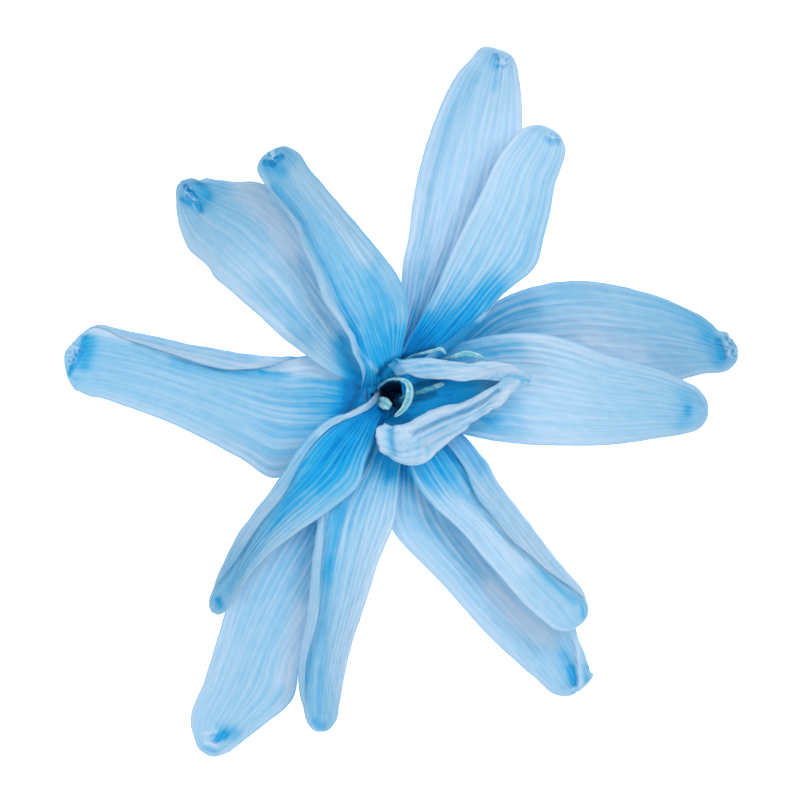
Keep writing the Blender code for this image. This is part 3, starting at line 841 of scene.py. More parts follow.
def fold_strip(fold, at, dice):
    """Length of sheet past the fold line and radius of the roll at each row.

    Where the strip is narrow its roll is tight, so the strip tapers into the margin.
    """
    if fold is None:
        return np.zeros_like(at), np.full_like(at, ROLL_RADIUS)
    phase = dice.uniform(0, 2 * math.pi, 2)
    uneven = 1.0 + 0.06 * np.sin(9 * at + phase[0]) + 0.04 * np.sin(27 * at + phase[1])
    width = tapered(fold.widths, at) * uneven
    radius = np.clip(0.5 * width, LEAST_ROLL_RADIUS, fold.radius)
    strip = (width + (math.pi - 1.0) * radius) * np.minimum(width / LEAST_ROLL_RADIUS, 1.0)
    return strip, radius


def pushed_width(width, pushes, side, at):
    """Half width with this side's pushes added, and less of them where the tepal is narrow."""
    out = np.zeros_like(at)
    for push in pushes:
        if push.side == side:
            out += push.out * np.exp(-(((at - push.at) / push.spread) ** 2))
    return width * (1.0 + out / np.maximum(width, LEAST_PUSHED_WIDTH))


def half_section(width, cup, strip, radius):
    """Distance out, height and place in the sheet of one side of every row.

    The place is 0 at the midrib, 1 at the fold line and more past it.
    """
    edge_angle = np.arctan(2.0 * cup / width)
    roll_angle = np.minimum(edge_angle + strip / radius, math.pi / 2)
    proud = radius * (np.sin(roll_angle) - np.sin(edge_angle))
    sheet = np.maximum(width - proud, LEAST_SHEET_SHARE * width)[:, None]
    edge_angle = edge_angle[:, None]
    strip = strip[:, None]
    radius = radius[:, None]
    run = np.linspace(0.0, 1.0, HALF_COLUMNS + 1)[None, :] * (sheet + strip)
    past = np.maximum(run - sheet, 0.0)
    turned = np.clip(past / radius, 0.0, ROLL_END_ANGLE - edge_angle)
    straight = np.maximum(past - turned * radius, 0.0)
    out = (
        np.minimum(run, sheet)
        + radius * (np.sin(edge_angle + turned) - np.sin(edge_angle))
        + straight * math.cos(ROLL_END_ANGLE)
    )
    height = (
        cup[:, None] * (np.minimum(run, sheet) / sheet) ** 2
        + radius * (np.cos(edge_angle) - np.cos(edge_angle + turned))
        + straight * math.sin(ROLL_END_ANGLE)
    )
    return out, height, run / sheet


def cross_sections(tepal, dice):
    """Rows of the tepal: their places, the midrib and its length, and how each row runs sideways."""
    sections = np.array(tepal.sections)
    steps = np.hypot(*np.diff(sections[:, :2], axis=0).T)
    knots = np.concatenate([[0.0], np.cumsum(steps)]) / steps.sum()
    at, closing = tepal_rows(tepal.blunt)
    midrib = smooth_between(knots, sections, at)
    cup = smooth_between(np.array([0.0, 0.5, 1.0]), np.array(tepal.cup)[:, None], at)[:, 0] * closing
    sides = []
    for side, fold in ((LEFT, tepal.left), (RIGHT, tepal.right)):
        width = pushed_width(midrib[:, 3], tepal.pushes, side, at) * closing
        sides.append(half_section(width, cup, *fold_strip(fold, at, dice)))
    out, up, place = (
        np.concatenate([left[:, ::-1], sign * right[:, 1:]], axis=1)
        for left, right, sign in zip(*sides, (-1, 1, -1))
    )
    return at, midrib, steps.sum(), out, up, place


def by_side(place, left, right):
    """One value left of the midrib and another right of it."""
    return np.where(place > 0, left, right)


def lobe_reach(lobe, share, rows):
    """How far each side of the base reaches back past the first section."""
    (left_reach, left_roundness), (right_reach, right_roundness) = lobe
    roundness = by_side(share, left_roundness, right_roundness)
    off_axis = np.minimum(np.abs(share), 1.0)
    form = roundness * np.sin(0.8 * math.pi * off_axis) + (1 - roundness) * off_axis**4
    return by_side(share, left_reach, right_reach) * form * (1.0 - rows) ** 2


def ripples(droop, rows, place, dice):
    """Height that ruffled margins, waves of the sheet and drooping margins add."""
    phase = dice.uniform(0, 2 * math.pi, 6)
    inside = np.minimum(np.abs(place), 1.0)
    side_phase = by_side(place, phase[0], phase[1])
    ruffle = 0.6 * np.sin(9.5 * rows + side_phase) + 0.4 * np.sin(21 * rows + 1.7 * side_phase)
    wave = np.sin(6 * rows + phase[2]) * np.cos(2.4 * place + phase[3])
    wave += 0.6 * np.sin(11 * rows + phase[4]) * np.cos(4.1 * place + phase[5])
    return RUFFLE_HEIGHT * ruffle * inside**3 + WAVE_HEIGHT * wave - by_side(place, *droop) * inside**4


def sheet_points(midrib, at, out, rise, back):
    """Points of the sheet from their distance off the midrib, their height over it and the lobes."""
    along = np.gradient(midrib[:, :2], at, axis=0)
    along /= np.linalg.norm(along, axis=1)[:, None]
    points = np.empty(out.shape + (3,))
    points[..., 0] = midrib[:, 0, None] - along[:, 1, None] * out - along[:, 0, None] * back
    points[..., 1] = midrib[:, 1, None] + along[:, 0, None] * out - along[:, 1, None] * back
    points[..., 2] = np.maximum(midrib[:, 2, None] + rise, SHEET_THICKNESS / 2 + FLOOR_GAP)
    return points


def unit_normals(points):
    """Normals of a grid of points, towards the face of the tepal."""
    down_rows = np.gradient(points, axis=0)
    across = np.gradient(points, axis=1)
    normal = np.cross(across, down_rows)
    return normal / np.linalg.norm(normal, axis=2)[..., None]


# Fields of a sheet

def vein_field(count, at, place, dice):
    """Narrow ridges that run lengthwise side by side, a little wavy and uneven."""
    spacing = 2.0 / count
    field = np.zeros(np.broadcast(at, place).shape)
    for centre in np.arange(-VEIN_FIELD_REACH, VEIN_FIELD_REACH, spacing):
        offset = dice.uniform(-0.18, 0.18) * spacing
        strength = dice.uniform(0.55, 1.0)
        width = spacing * dice.uniform(0.24, 0.36)
        phase = dice.uniform(0, 2 * math.pi, 3)
        wander = spacing * (0.11 * np.sin(8 * at + phase[0]) + 0.07 * np.sin(26 * at + phase[1]))
        fade = 0.72 + 0.28 * np.sin(16 * at + phase[2])
        field += strength * fade * np.exp(-(((place - centre - offset - wander) / width) ** 2))
    return field - field.mean()


def crumple(first, second, pitches, dice):
    """Small irregular hills and valleys, from -1 to 1, over two coordinates in millimetres."""
    field = np.zeros(np.broadcast(first, second).shape)
    for wave in range(CRUMPLE_WAVES):
        heading = dice.uniform(0, 2 * math.pi)
        pitch = 2 * math.pi / dice.uniform(*pitches)
        across = first * math.cos(heading) + second * math.sin(heading)
        field += np.cos(pitch * across + dice.uniform(0, 2 * math.pi))
    return np.clip(field / math.sqrt(2.0 * CRUMPLE_WAVES), -1.0, 1.0)


def nearness(route, width, points):
    """1 on a route of (x, y) points, falling off to either side and past its ends."""
    nearest = np.full(points.shape[:2], np.inf)
    for first, second in zip(route, route[1:]):
        first, second = np.array(first), np.array(second)
        span = second - first
        offset = points[..., :2] - first
        share = np.clip((offset @ span) / (span @ span), 0.0, 1.0)
        miss = offset - share[..., None] * span
        nearest = np.minimum(nearest, np.hypot(miss[..., 0], miss[..., 1]))
    return np.exp(-((nearest / width) ** 2))


def line_marks(lines, points, flap):
    """How far the lines sink the sheet, deepen its dye and turn it to the dark blue of painted shade."""
    sink, dye, shade = np.zeros((3,) + flap.shape)
    for line in lines:
        near = nearness(line.route, line.width, points) * (flap == (line.on == "flap"))
        sink += line.depth * near
        dye += line.dye * near
        shade += line.shade * near
    return sink, dye, shade


def tuft_patch(tufts, points, flap):
    """1 on the crumpled patches under the tufts."""
    patch = np.zeros(flap.shape)
    for tuft in tufts:
        offset = np.hypot(points[..., 0] - tuft.x, points[..., 1] - tuft.y)
        patch = np.maximum(patch, np.exp(-((offset / tuft.radius) ** 4)) * ~flap)
    return patch


def sheet_dye(tepal, rows, place, broad, flap):
    """Depth of dye before lines: deep at the base, paler at the margins (partly painted light) and on the
    folds.
    """
    base, middle, tip = tepal.dye
    dye = middle + (tip - middle) * smoothstep(0.4, 0.95, rows)
    reach = tepal.reach * (1.0 - 0.20 * broad)
    dye = dye + (base - dye) * np.exp(-((rows / reach) ** 1.6))
    dye += tepal.side * np.clip(place, -1, 1) * middle_stretch(rows)
    return dye + tepal.flap_dye * flap - MARGIN_PALING * near_margin(rows, place) * ~flap


def middle_stretch(rows):
    """0 at the base and the tip, 1 between them."""
    return smoothstep(0.05, 0.3, rows) * (1 - smoothstep(0.85, 1.0, rows))


def near_margin(rows, place):
    """1 along the side margins, 0 inside them and at the base."""
    return smoothstep(0.70, 1.0, np.minimum(np.abs(place), 1.0)) * smoothstep(0.1, 0.4, rows)


def throat_shade(points):
    """Painted shade of the throat: 1 low down in the throat, 0 away from it and above it."""
    from_throat = np.hypot(points[..., 0] - THROAT_X, points[..., 1] - THROAT_Y)
    return (1 - smoothstep(*THROAT_HEIGHTS, points[..., 2])) * (1 - smoothstep(*THROAT_RADII, from_throat))


def tepal_grid(tepal):
    """Points and normals of the middle of the sheet, and its fields for colour."""
    dice = np.random.default_rng(tepal.seed)
    at, midrib, length, out, up, place = cross_sections(tepal, dice)
    rows = at[:, None]
    half_width = midrib[:, 3, None]
    flap = np.abs(place) > 1.0
    middle = middle_stretch(rows)
    rise = up + tepal.tilt * out / half_width + middle * ripples(tepal.droop, rows, place, dice)
    back = lobe_reach(tepal.lobe, out / half_width, rows)
    points = sheet_points(midrib, at, out, rise, back)

    setting_in = smoothstep(0.4 * tepal.calm - 0.01, tepal.calm, rows)
    veining = np.where(flap, tepal.veining[1], tepal.veining[0] * setting_in)
    broad = veining * vein_field(tepal.veins, rows, place, dice)
    fine = veining * vein_field(FINE_VEIN_RATIO * tepal.veins, rows, place, dice)
    crumpled = crumple(points[..., 0], points[..., 1], CRUMPLE_PITCHES, dice)
    lengthwise = rows * length / CRINKLE_STRETCH
    crinkled = crumple(place * half_width, lengthwise, CRINKLE_PITCHES, dice)
    sink, line_dye, shade = line_marks(tepal.lines, points, flap)
    patch = tuft_patch(tepal.tufts, points, flap)
    fade = 1 - 0.50 * smoothstep(0.3, 0.85, rows) - 0.30 * smoothstep(0.93, 1.0, rows)
    relief = (VEIN_RELIEF * broad + FINE_VEIN_RELIEF * fine) * fade
    relief += CRINKLE_RELIEF * crinkled + CRUMPLE_RELIEF * crumpled * patch - sink
    relief *= 1 - smoothstep(0.980, 0.996, rows)
    normal = unit_normals(points)
    points += normal * relief[..., None]

    dye = sheet_dye(tepal, rows, place, broad, flap) + line_dye
    inward = np.abs(np.linspace(1.0, -1.0, out.shape[1]))
    dull = tepal.dull[0] + (tepal.dull[1] - tepal.dull[0]) * smoothstep(0.3, 1.0, rows)
    return points, normal, {
        "along": np.broadcast_to(rows, out.shape),
        "across": place,
        "dye": np.where(rows > 0.6, np.minimum(dye, DEEPEST_TIP_DYE), dye),
        "vein": broad,
        "fine_vein": fine,
        "crinkle": crinkled,
        "edge": smoothstep(0.955, 1.0, inward) * middle * (1 - 0.7 * flap),
        "patch": patch * smoothstep(-0.15, 0.35, crumpled),
        "valley": patch * np.clip(-crumpled, 0.0, 1.0),
        # deep: painted shade, low in the throat and along the lines that carry shade
        "deep": np.clip(throat_shade(points) + shade, 0.0, 1.0),
        "dull": np.clip(dull + MARGIN_DULLNESS * near_margin(rows, place), 0.0, 1.0),
    }


# Meshes

def grid_faces(rows, columns):
    """Quads of the face, the back and the rim of a sheet."""
    index = np.arange(rows * columns).reshape(rows, columns)
    corners = [index[:-1, :-1], index[:-1, 1:], index[1:, 1:], index[1:, :-1]]
    quads = np.stack(corners, axis=-1).reshape(-1, 4)
    count = rows * columns
    rear = quads[:, ::-1] + count
    rim = np.concatenate([index[0, :], index[1:, -1], index[-1, -2::-1], index[-2:0:-1, 0]])
    ahead = np.roll(rim, -1)
    band = np.stack([ahead, rim, rim + count, ahead + count], axis=-1)
    return np.concatenate([quads, rear, band])


def add_object(name, data, place=(0.0, 0.0, 0.0)):
    """Object that shows a mesh, a light or a camera, linked to the scene."""
    item = bpy.data.objects.new(name, data)
    item.location = place
    bpy.context.collection.objects.link(item)
    return item


def make_mesh(name, vertices, faces, fields, material):
    """Mesh object from arrays in millimetres, with one float attribute for each field."""
    mesh = bpy.data.meshes.new(name)
    mesh.from_pydata((vertices * MM).tolist(), [], faces)
    for field, values in fields.items():
        attribute = mesh.attributes.new(field, "FLOAT", "POINT")
        attribute.data.foreach_set("value", np.ascontiguousarray(values, dtype=np.float32))
    mesh.update()
    mesh.shade_smooth()
    mesh.materials.append(material)
    return add_object(name, mesh)


def papilla():
    """One short hair, standing on the origin along +Z."""
    rings = ((0.75, 0.0), (1.0, 0.35), (0.85, 0.75), (0.35, 1.0))
    angles = np.arange(PAPILLA_SIDES) * 2 * math.pi / PAPILLA_SIDES
    points = [(0.0, 0.0, -0.2 * PAPILLA_LENGTH)]
    for share, height in rings:
        radius = share * PAPILLA_RADIUS
        for angle in angles:
            points.append((radius * math.cos(angle), radius * math.sin(angle), height * PAPILLA_LENGTH))
    faces = []
    for side in range(PAPILLA_SIDES):
        following = (side + 1) % PAPILLA_SIDES
        faces.append((0, 1 + following, 1 + side))
        for ring in range(len(rings) - 1):
            low = 1 + ring * PAPILLA_SIDES
            high = low + PAPILLA_SIDES
            faces.append((low + side, low + following, high + following, high + side))
    top = 1 + (len(rings) - 1) * PAPILLA_SIDES
    faces.append(tuple(top + side for side in range(PAPILLA_SIDES)))
    return np.array(points), faces


def papillae(tepal, face, normal):
    """Short hairs scattered over the tufts of a tepal."""
    dice = np.random.default_rng(tepal.seed + 100)
    hair, hair_faces = papilla()
    vertices, faces = [], []
    for tuft in tepal.tufts:
        for number in range(tuft.count):
            angle = dice.uniform(0, 2 * math.pi)
            radius = tuft.radius * math.sqrt(dice.uniform(0, 1))
            x = tuft.x + radius * math.cos(angle)
            y = tuft.y + radius * math.sin(angle)
            miss = (face[..., 0] - x) ** 2 + (face[..., 1] - y) ** 2
            spot = np.unravel_index(np.argmin(miss), miss.shape)
            lean = Vector(normal[spot]) + Vector(dice.normal(0, 0.55, 3))
            turn = Vector((0, 0, 1)).rotation_difference(lean.normalized()).to_matrix()
            placed = hair @ np.array(turn).T * dice.uniform(0.6, 1.3) + face[spot]
            start = len(vertices) * len(hair)
            vertices.append(placed)
            faces += [tuple(start + index for index in corner) for corner in hair_faces]
    if not vertices:
        return np.zeros((0, 3)), []
    return np.concatenate(vertices), faces


def margin_taper(points):
    """Thickness of the sheet at each point of its grid: it thins out towards its margins."""
    steps = np.linalg.norm(np.diff(points, axis=1), axis=2)
    from_left = np.pad(np.cumsum(steps, axis=1), ((0, 0), (1, 0)))
    from_margin = np.minimum(from_left, from_left[:, -1:] - from_left)
    full = smoothstep(0.0, MARGIN_REACH, from_margin)
    return MARGIN_THICKNESS + (SHEET_THICKNESS - MARGIN_THICKNESS) * full


def make_sheet(name, tepal, material):
    """A tepal: its face, its back and the hairs at its tip."""
    points, normal, sheet_fields = tepal_grid(tepal)
    half_thickness = margin_taper(points)[..., None] / 2
    face = points + normal * half_thickness
    rear = points - normal * half_thickness
    rear[..., 2] = np.maximum(rear[..., 2], 0.0)
    face[..., 2] = np.maximum(face[..., 2], LEAST_FACE_HEIGHT)
    rows, columns = points.shape[:2]
    count = rows * columns
    hairs, hair_faces = papillae(tepal, face, normal)
    vertices = np.concatenate([face.reshape(-1, 3), rear.reshape(-1, 3), hairs])
    faces = grid_faces(rows, columns).tolist()
    faces += [tuple(2 * count + index for index in corner) for corner in hair_faces]
    fields = {}
    for field, values in sheet_fields.items():
        flat = values.reshape(-1)
        fields[field] = np.concatenate([flat, flat, np.zeros(len(hairs))])
    fields["rear"] = np.concatenate([np.zeros(count), np.ones(count), np.zeros(len(hairs))])
    fields["dye"][2 * count :] = HAIR_DYE
    fields["hair"] = np.concatenate([np.zeros(2 * count), np.ones(len(hairs))])
    piece = make_mesh(name, vertices, faces, fields, material)
    first_rim_face = 2 * (rows - 1) * (columns - 1)
    rim_faces = 2 * (rows + columns) - 4
    smooth = np.ones(len(faces), dtype=bool)
    smooth[first_rim_face : first_rim_face + rim_faces] = False
    piece.data.polygons.foreach_set("use_smooth", smooth)
    return piece


def strand_frame(centre):
    """Directions sideways and upwards at each point of a strand."""
    tangent = np.gradient(centre, axis=0)
    tangent /= np.linalg.norm(tangent, axis=1)[:, None]
    sideways = np.cross([0.0, 0.0, 1.0], tangent) + LEAST_SIDEWAYS
    sideways /= np.linalg.norm(sideways, axis=1)[:, None]
    return sideways, np.cross(tangent, sideways)


def make_strand(name, strand, material):
    """A stamen: a thin strand that swells into a grooved, two-lobed anther."""
    dice = np.random.default_rng(strand.seed)
    route = np.array(strand.route)
    at = np.linspace(0.0, 1.0, STRAND_ROWS)
    smooth = smooth_between(np.linspace(0.0, 1.0, len(route)), route, at)
    sideways, upwards = strand_frame(smooth[:, :3])
    angle = np.arange(STRAND_SIDES) * 2 * math.pi / STRAND_SIDES
    swell = smoothstep(strand.anther_start - ANTHER_SWELL, strand.anther_start + ANTHER_SWELL, at)
    into_end = np.clip((at - 1 + STRAND_END) / STRAND_END, 0, 1)
    end = np.sqrt(np.clip(1 - into_end**2, LEAST_END**2, 1))
    from_top = np.angle(np.exp(1j * (angle - math.pi / 2)))
    groove = np.broadcast_to(np.exp(-((from_top / GROOVE_WIDTH) ** 2)), (STRAND_ROWS, STRAND_SIDES))
    lobe = 1 - strand.lobes * swell[:, None] * groove
    grain = 1 + STRAND_GRAIN * swell[:, None] * dice.normal(0, 1, groove.shape)
    size = lobe * grain * end[:, None]
    points = (
        smooth[:, None, :3]
        + sideways[:, None, :] * (smooth[:, 3, None] * np.cos(angle) * size)[..., None]
        + upwards[:, None, :] * (smooth[:, 4, None] * np.sin(angle) * size)[..., None]
    )
    index = np.arange(groove.size).reshape(groove.shape)
    ahead = np.roll(index, -1, axis=1)
    faces = np.stack([index[:-1], ahead[:-1], ahead[1:], index[1:]], axis=-1).reshape(-1, 4).tolist()
    faces.append(tuple(index[0][::-1].tolist()))
    faces.append(tuple(index[-1].tolist()))
    fields = {
        "along": np.repeat(at, STRAND_SIDES),
        "anther": np.repeat(swell, STRAND_SIDES),
        "groove": (groove * swell[:, None]).reshape(-1),
    }
    return make_mesh(name, points.reshape(-1, 3), faces, fields, material)


def tube_profile():
    """Outline of the tube's wall, up its outside and down its inside.

    Each point has a radius, a height and how far it shares in the sideways shift of the pinhole.
    """
    end_bore = TUBE_END_RADIUS - TUBE_WALL
    outside = (
        (TUBE_END_RADIUS, 0.0, 0.0),
        (TUBE_END_RADIUS, 0.08, 0.0),
        (TUBE_END_RADIUS, 0.7, 0.0),
        (TUBE_END_RADIUS, 1.5, 0.0),
        (TUBE_END_RADIUS + 0.02, TUBE_FLARE_START, 0.0),
        (TUBE_END_RADIUS + 0.16, 3.0, 0.0),
        (TUBE_END_RADIUS + 0.40, 3.8, 0.0),
        (TUBE_RIM_RADIUS - 0.02, 4.4, 0.0),
        (TUBE_RIM_RADIUS - 0.10, TUBE_HEIGHT - 0.03, 0.0),
    )
    inside = (
        (TUBE_RIM_RADIUS - TUBE_WALL / 2, TUBE_HEIGHT, 0.0),
        (TUBE_RIM_RADIUS - TUBE_WALL + 0.08, TUBE_HEIGHT - 0.04, 0.0),
        (TUBE_RIM_RADIUS - TUBE_WALL, 4.3, 0.0),
        (end_bore + 0.34, 3.6, 0.0),
        (end_bore + 0.10, 2.8, 0.0),
        (end_bore, TUBE_FLARE_START, 0.0),
        (0.55 * end_bore, 0.35 * TUBE_FLARE_START + 0.65 * TUBE_PINCH_HEIGHT, 0.65),
        (TUBE_PINCH_RADIUS, TUBE_PINCH_HEIGHT, 1.0),
        (0.60 * end_bore, 0.55 * TUBE_PINCH_HEIGHT, 0.55),
        (end_bore, 0.10, 0.0),
        (end_bore, 0.0, 0.0),
    )
    return outside, inside


def make_tube(name, material):
    """The tube, ridged lengthwise outside, with a rounded rim, dried shut to a pinhole below."""
    outside, inside = tube_profile()
    profile = outside + inside
    vertices, height, inner = [], [], []
    for segment in range(TUBE_SEGMENTS):
        angle = 2 * math.pi * segment / TUBE_SEGMENTS
        ridge = TUBE_RIDGE_HEIGHT * (math.cos(TUBE_RIDGES * angle) - 1)
        oval = 1 + TUBE_OVALNESS * math.cos(2 * angle + TUBE_OVAL_PHASE)
        for number, (radius, z, pinch) in enumerate(profile):
            ridged = 0 < number < len(outside)
            reach = radius * oval + (ridge if ridged else 0.0)
            x = THROAT_X + pinch * TUBE_PINCH_SHIFT[0] + reach * math.cos(angle)
            y = THROAT_Y + pinch * TUBE_PINCH_SHIFT[1] + reach * math.sin(angle)
            vertices.append((x, y, z))
            height.append(z / TUBE_HEIGHT)
            inner.append(0.0 if number < len(outside) else 1.0)
    index = np.arange(len(vertices)).reshape(TUBE_SEGMENTS, len(profile))
    ahead = np.roll(index, -1, axis=0)
    corners = [index, ahead, np.roll(ahead, -1, axis=1), np.roll(index, -1, axis=1)]
    faces = np.stack(corners, axis=-1).reshape(-1, 4).tolist()
    return make_mesh(name, np.array(vertices), faces, {"along": height, "inner": inner}, material)


# Materials

class Nodes:
    """Small helper that adds and links the nodes of one material."""

    def __init__(self, name):
        self.material = bpy.data.materials.new(name)
        self.material.use_nodes = True
        self.tree = self.material.node_tree
        self.shader = self.tree.nodes["Principled BSDF"]

    def add(self, kind, **settings):
        node = self.tree.nodes.new(kind)
        for key, value in settings.items():
            setattr(node, key, value)
        return node

    def link(self, source, target):
        self.tree.links.new(source, target)

    def fill(self, socket, value):
        """Give a socket a fixed value, or link it to another socket."""
        if isinstance(value, (int, float, tuple)):
            socket.default_value = value
        else:
            self.link(value, socket)

    def surface(self, name, value):
        """Set or link one input of the material's shader."""
        self.fill(self.shader.inputs[name], value)

    def field(self, name):
        return self.add("ShaderNodeAttribute", attribute_name=name).outputs["Fac"]

    def math(self, operation, first, second, clamp=False):
        node = self.add("ShaderNodeMath", operation=operation, use_clamp=clamp)
        self.fill(node.inputs[0], first)
        self.fill(node.inputs[1], second)
        return node.outputs["Value"]

    def total(self, *terms, clamp=False):
        """Sum of sockets and numbers; a pair is a value and its weight."""
        parts = [self.math("MULTIPLY", *term) if isinstance(term, tuple) else term for term in terms]
        result = parts[0]
        for part in parts[1:-1]:
            result = self.math("ADD", result, part)
        return self.math("ADD", result, parts[-1], clamp=clamp)

    def ramp(self, factor, stops):
        node = self.add("ShaderNodeValToRGB")
        elements = node.color_ramp.elements
        while len(elements) < len(stops):
            elements.new(0.5)
        for element, (place, colour) in zip(elements, stops):
            element.position = place
            element.color = linear(*colour)
        self.link(factor, node.inputs["Fac"])
        return node.outputs["Color"]

    def mix(self, factor, first, second, blend="MIX"):
        node = self.add("ShaderNodeMix", data_type="RGBA", blend_type=blend)
        for socket, value in ((node.inputs[0], factor), (node.inputs[6], first), (node.inputs[7], second)):
            self.fill(socket, value)
        return node.outputs[2]

    def tint(self, colour, field, share, other):
        """Turn a colour towards another one, by a share of a field."""
        return self.mix(self.math("MULTIPLY", self.field(field), share), colour, other)

    def centred(self, noise):
        """Noise shifted so that it runs either side of zero."""
        return self.math("SUBTRACT", noise, 0.5)

    def noise(self, place, scale, detail, roughness=0.5):
        node = self.add("ShaderNodeTexNoise", noise_dimensions="3D")
        node.inputs["Scale"].default_value = scale
        node.inputs["Detail"].default_value = detail
        node.inputs["Roughness"].default_value = roughness
        self.link(place, node.inputs["Vector"])
        return node.outputs["Fac"]

    def streaks(self, across_scale, along_scale, seed):
        """Noise drawn out along the tepal, so it runs with the veins."""
        combine = self.add("ShaderNodeCombineXYZ")
        self.link(self.math("MULTIPLY", self.field("across"), across_scale), combine.inputs["X"])
        self.link(self.math("MULTIPLY", self.field("along"), along_scale), combine.inputs["Y"])
        combine.inputs["Z"].default_value = seed
        return self.noise(combine.outputs["Vector"], 1.0, 3.0, 0.6)

    def position(self):
        return self.add("ShaderNodeTexCoord").outputs["Object"]

    def grain(self, scale, detail=3.0):
        return self.noise(self.position(), scale, detail)

    def bump(self, height, strength, distance):
        node = self.add("ShaderNodeBump")
        node.inputs["Strength"].default_value = strength
        node.inputs["Distance"].default_value = distance
        self.link(height, node.inputs["Height"])
        self.surface("Normal", node.outputs["Normal"])


DYE_STOPS = (
    (0.00, (202, 223, 243)),
    (0.20, (186, 214, 238)),
    (0.40, (156, 201, 230)),
    (0.56, (118, 187, 226)),
    (0.72, (62, 171, 221)),
    (0.84, (18, 158, 218)),
    (0.92, (2, 158, 226)),
    (1.00, (0, 132, 200)),
)
BACK_STOPS = (
    (0.00, (196, 214, 234)),
    (0.35, (160, 200, 229)),
    (0.60, (118, 182, 222)),
    (1.00, (40, 148, 206)),
)
# The navy stop is painted shade of the deep throat
TUBE_STOPS = (
    (0.00, (150, 200, 226)),
    (0.35, (60, 176, 222)),
    (0.65, (10, 104, 164)),
    (0.86, (2, 52, 98)),
    (1.00, (0, 118, 186)),
)
FILAMENT_STOPS = ((0.3, (20, 112, 150)), (0.7, (84, 176, 198)))
ANTHER_STOPS = ((0.3, (104, 186, 204)), (0.5, (152, 206, 216)), (0.7, (204, 229, 232)))
DULL_TINT = (0.76, 0.81, 0.83, 1.0)
HAIR_COLOUR = linear(200, 224, 243)
EDGE_COLOUR = linear(96, 176, 222)
GROOVE_COLOUR = linear(52, 158, 184)
# Dark blue of painted shade, low in the throat, in gaps and under other tepals
PAINTED_SHADE_BLUE = linear(2, 40, 76)


def petal_material(name, seed):
    """Dyed, dried petal tissue: colour from the depth of dye, streaked along the veins, with painted light
    and shade.
    """
    nodes = Nodes(name)
    near_base = nodes.math("SUBTRACT", 1.0, nodes.field("along"))
    gain = nodes.total((nodes.math("POWER", near_base, 2.0), 0.8), 0.55)
    fine_streak = nodes.centred(nodes.streaks(60.0, 7.0, seed + 13.0))
    # Paler on vein ridges and crinkle crests, deeper between them: partly the dye, partly painted
    # highlight that makes the relief read as lit
    streak = nodes.total(
        (nodes.field("vein"), -0.25),
        (nodes.field("fine_vein"), -0.16),
        (nodes.field("crinkle"), -0.03),
        (nodes.centred(nodes.streaks(7.0, 2.2, seed)), 0.12),
        (nodes.centred(nodes.streaks(20.0, 4.0, seed + 7.0)), 0.14),
        (fine_streak, 0.30),
    )
    blotch = nodes.centred(nodes.grain(180.0))
    speck = nodes.centred(nodes.grain(1500.0))
    grain = nodes.total((blotch, 0.07), (speck, 0.10))
    dye = nodes.field("dye")
    face_depth = nodes.total(dye, (streak, gain), (nodes.field("valley"), 0.25), grain, clamp=True)
    back_depth = nodes.total((dye, 0.60), (streak, 1.3), 0.08, grain, clamp=True)
    face = nodes.ramp(face_depth, DYE_STOPS)
    back = nodes.ramp(back_depth, BACK_STOPS)
    colour = nodes.mix(nodes.field("rear"), face, back)
    colour = nodes.tint(colour, "patch", 0.7, HAIR_COLOUR)
    colour = nodes.tint(colour, "hair", 0.45, HAIR_COLOUR)
    colour = nodes.mix(nodes.field("dull"), colour, DULL_TINT, "MULTIPLY")
    colour = nodes.tint(colour, "edge", 0.45, EDGE_COLOUR)
    # Painted shade: the deep field turns the colour to dark blue
    nodes.surface("Base Color", nodes.mix(nodes.field("deep"), colour, PAINTED_SHADE_BLUE))
    nodes.surface("Roughness", nodes.total((fine_streak, 0.25), 0.60))
    nodes.surface("Specular IOR Level", 0.15)
    crinkles = nodes.math("ADD", nodes.streaks(60.0, 5.0, seed + 3.0), nodes.grain(2400.0))
    nodes.bump(crinkles, 0.45, 0.00005)
    return nodes.material


def stamen_material(name, seed):
    """Teal filament that turns pale green-white on the anther."""
    nodes = Nodes(name)
    grain = nodes.grain(2600.0, 4.0)
    filament = nodes.ramp(grain, FILAMENT_STOPS)
    anther = nodes.ramp(grain, ANTHER_STOPS)
    colour = nodes.mix(nodes.field("anther"), filament, anther)
    nodes.surface("Base Color", nodes.tint(colour, "groove", 0.75, GROOVE_COLOUR))
    nodes.surface("Roughness", 0.6)
    nodes.bump(nodes.grain(4200.0 + seed), 0.5, 0.00005)
    return nodes.material


def painted_lit_side(nodes):
    """Nought to one across the throat: one on its lower right, which is painted paler as painted light."""
    across = nodes.add("ShaderNodeVectorMath", operation="DOT_PRODUCT")
    nodes.link(nodes.position(), across.inputs[0])
    across.inputs[1].default_value = PAINTED_LIT_SIDE
    past_edge = nodes.math("SUBTRACT", across.outputs["Value"], PAINTED_LIT_SIDE_EDGE * MM)
    return nodes.math("DIVIDE", past_edge, PAINTED_LIT_SIDE_FADE * MM, clamp=True)


def tube_material(name):
    """Tube tissue: saturated dye inside and at the rim, paler outside; its dark navy inside is painted
    shade of the deep throat, and the lower right of the mouth is painted lighter as painted light.
    """
    nodes = Nodes(name)
    inner = nodes.field("inner")
    depth = nodes.total((inner, 0.70), (nodes.field("along"), 0.35), (nodes.grain(900.0), 0.2))
    # Painted light: the lower right of the mouth is made paler, standing in for the light it would catch
    paler = nodes.math("MULTIPLY", painted_lit_side(nodes), nodes.math("MULTIPLY", inner, 0.55))
    depth = nodes.math("SUBTRACT", depth, paler, clamp=True)
    nodes.surface("Base Color", nodes.ramp(depth, TUBE_STOPS))
    nodes.surface("Roughness", 0.65)
    nodes.bump(nodes.grain(2400.0), 0.4, 0.00008)
    return nodes.material


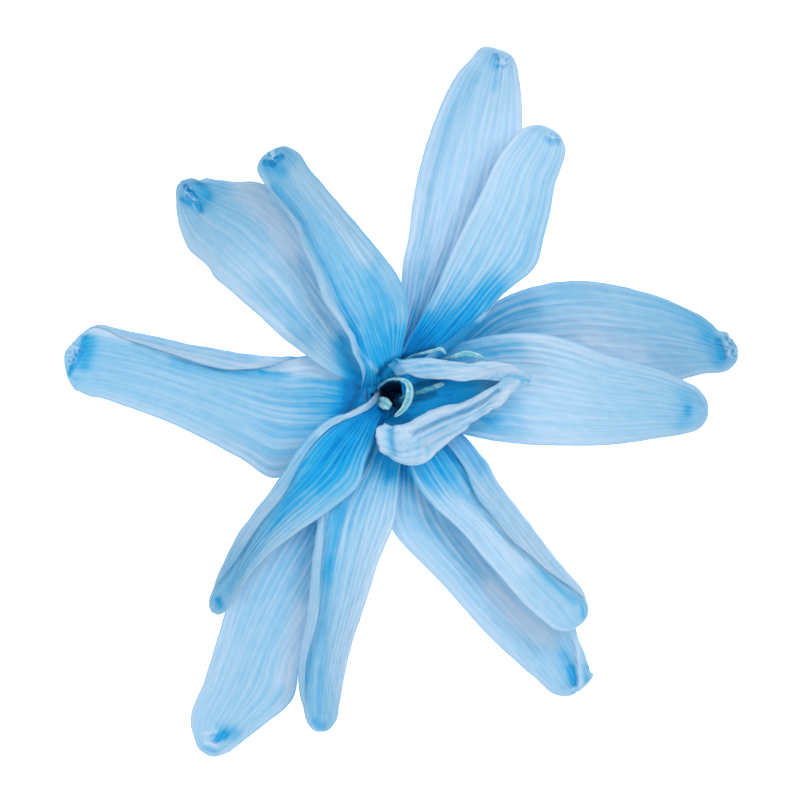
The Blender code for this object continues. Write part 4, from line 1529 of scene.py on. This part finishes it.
def floor_material():
    """White paper that glows a little, so shadows on it stay faint."""
    nodes = Nodes("floor")
    nodes.surface("Base Color", (0.90, 0.90, 0.90, 1.0))
    nodes.surface("Roughness", 0.9)
    nodes.surface("Specular IOR Level", 0.1)
    nodes.surface("Emission Color", (1.0, 1.0, 1.0, 1.0))
    nodes.surface("Emission Strength", FLOOR_GLOW)
    return nodes.material


# Stage

def make_floor():
    """Level sheet of white paper under the flower."""
    mesh = bpy.data.meshes.new("floor")
    signs = ((-1, -1), (1, -1), (1, 1), (-1, 1))
    corners = [(x * FLOOR_REACH, y * FLOOR_REACH, 0) for x, y in signs]
    mesh.from_pydata(corners, [], [(0, 1, 2, 3)])
    mesh.materials.append(floor_material())
    floor = add_object("floor", mesh)


def make_light(name, place, power):
    """Square softbox aimed at the flower."""
    light = bpy.data.lights.new(name, "AREA")
    light.energy = power
    light.size = SOFTBOX_SIZE
    light.color = SOFTBOX_COLOUR
    item = add_object(name, light, place)
    item.rotation_euler = (-Vector(place)).to_track_quat("-Z", "Y").to_euler()


def make_lights():
    """A pale sky and two softboxes."""
    world = bpy.data.worlds.new("studio")
    world.use_nodes = True
    background = world.node_tree.nodes["Background"]
    background.inputs["Color"].default_value = SKY_COLOUR
    background.inputs["Strength"].default_value = SKY_STRENGTH
    bpy.context.scene.world = world
    make_light("key_softbox", KEY_PLACE, KEY_WATTS)
    make_light("fill_softbox", FILL_PLACE, FILL_WATTS)


def make_camera():
    """Camera that looks straight down and takes in the photo's field."""
    camera = bpy.data.cameras.new("camera")
    frame_width = PIXEL * PICTURE_SIDE * MM
    camera.sensor_width = SENSOR_WIDTH
    camera.lens = SENSOR_WIDTH * CAMERA_DISTANCE / frame_width
    camera.clip_start = 0.01
    place = (VIEW_CENTRE[0] * MM, VIEW_CENTRE[1] * MM, VIEW_HEIGHT * MM + CAMERA_DISTANCE)
    bpy.context.scene.camera = add_object("camera", camera, place)
    bpy.context.scene.view_settings.view_transform = "Standard"


def dress(piece, node):
    """Let a piece ride on the root body and stand in for a node."""
    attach(piece, "root")
    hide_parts(node)


for name, tepal in TEPALS.items():
    sheet = make_sheet(f"{name}_sheet", tepal, petal_material(f"{name}_tissue", tepal.seed))
    dress(sheet, name)

for name, strand in STRANDS.items():
    stamen = make_strand(f"{name}_strand", strand, stamen_material(f"{name}_tissue", strand.seed))
    dress(stamen, name)

dress(make_tube("floral_tube_wall", tube_material("tube_tissue")), "floral_tube")

make_floor()
make_lights()
make_camera()
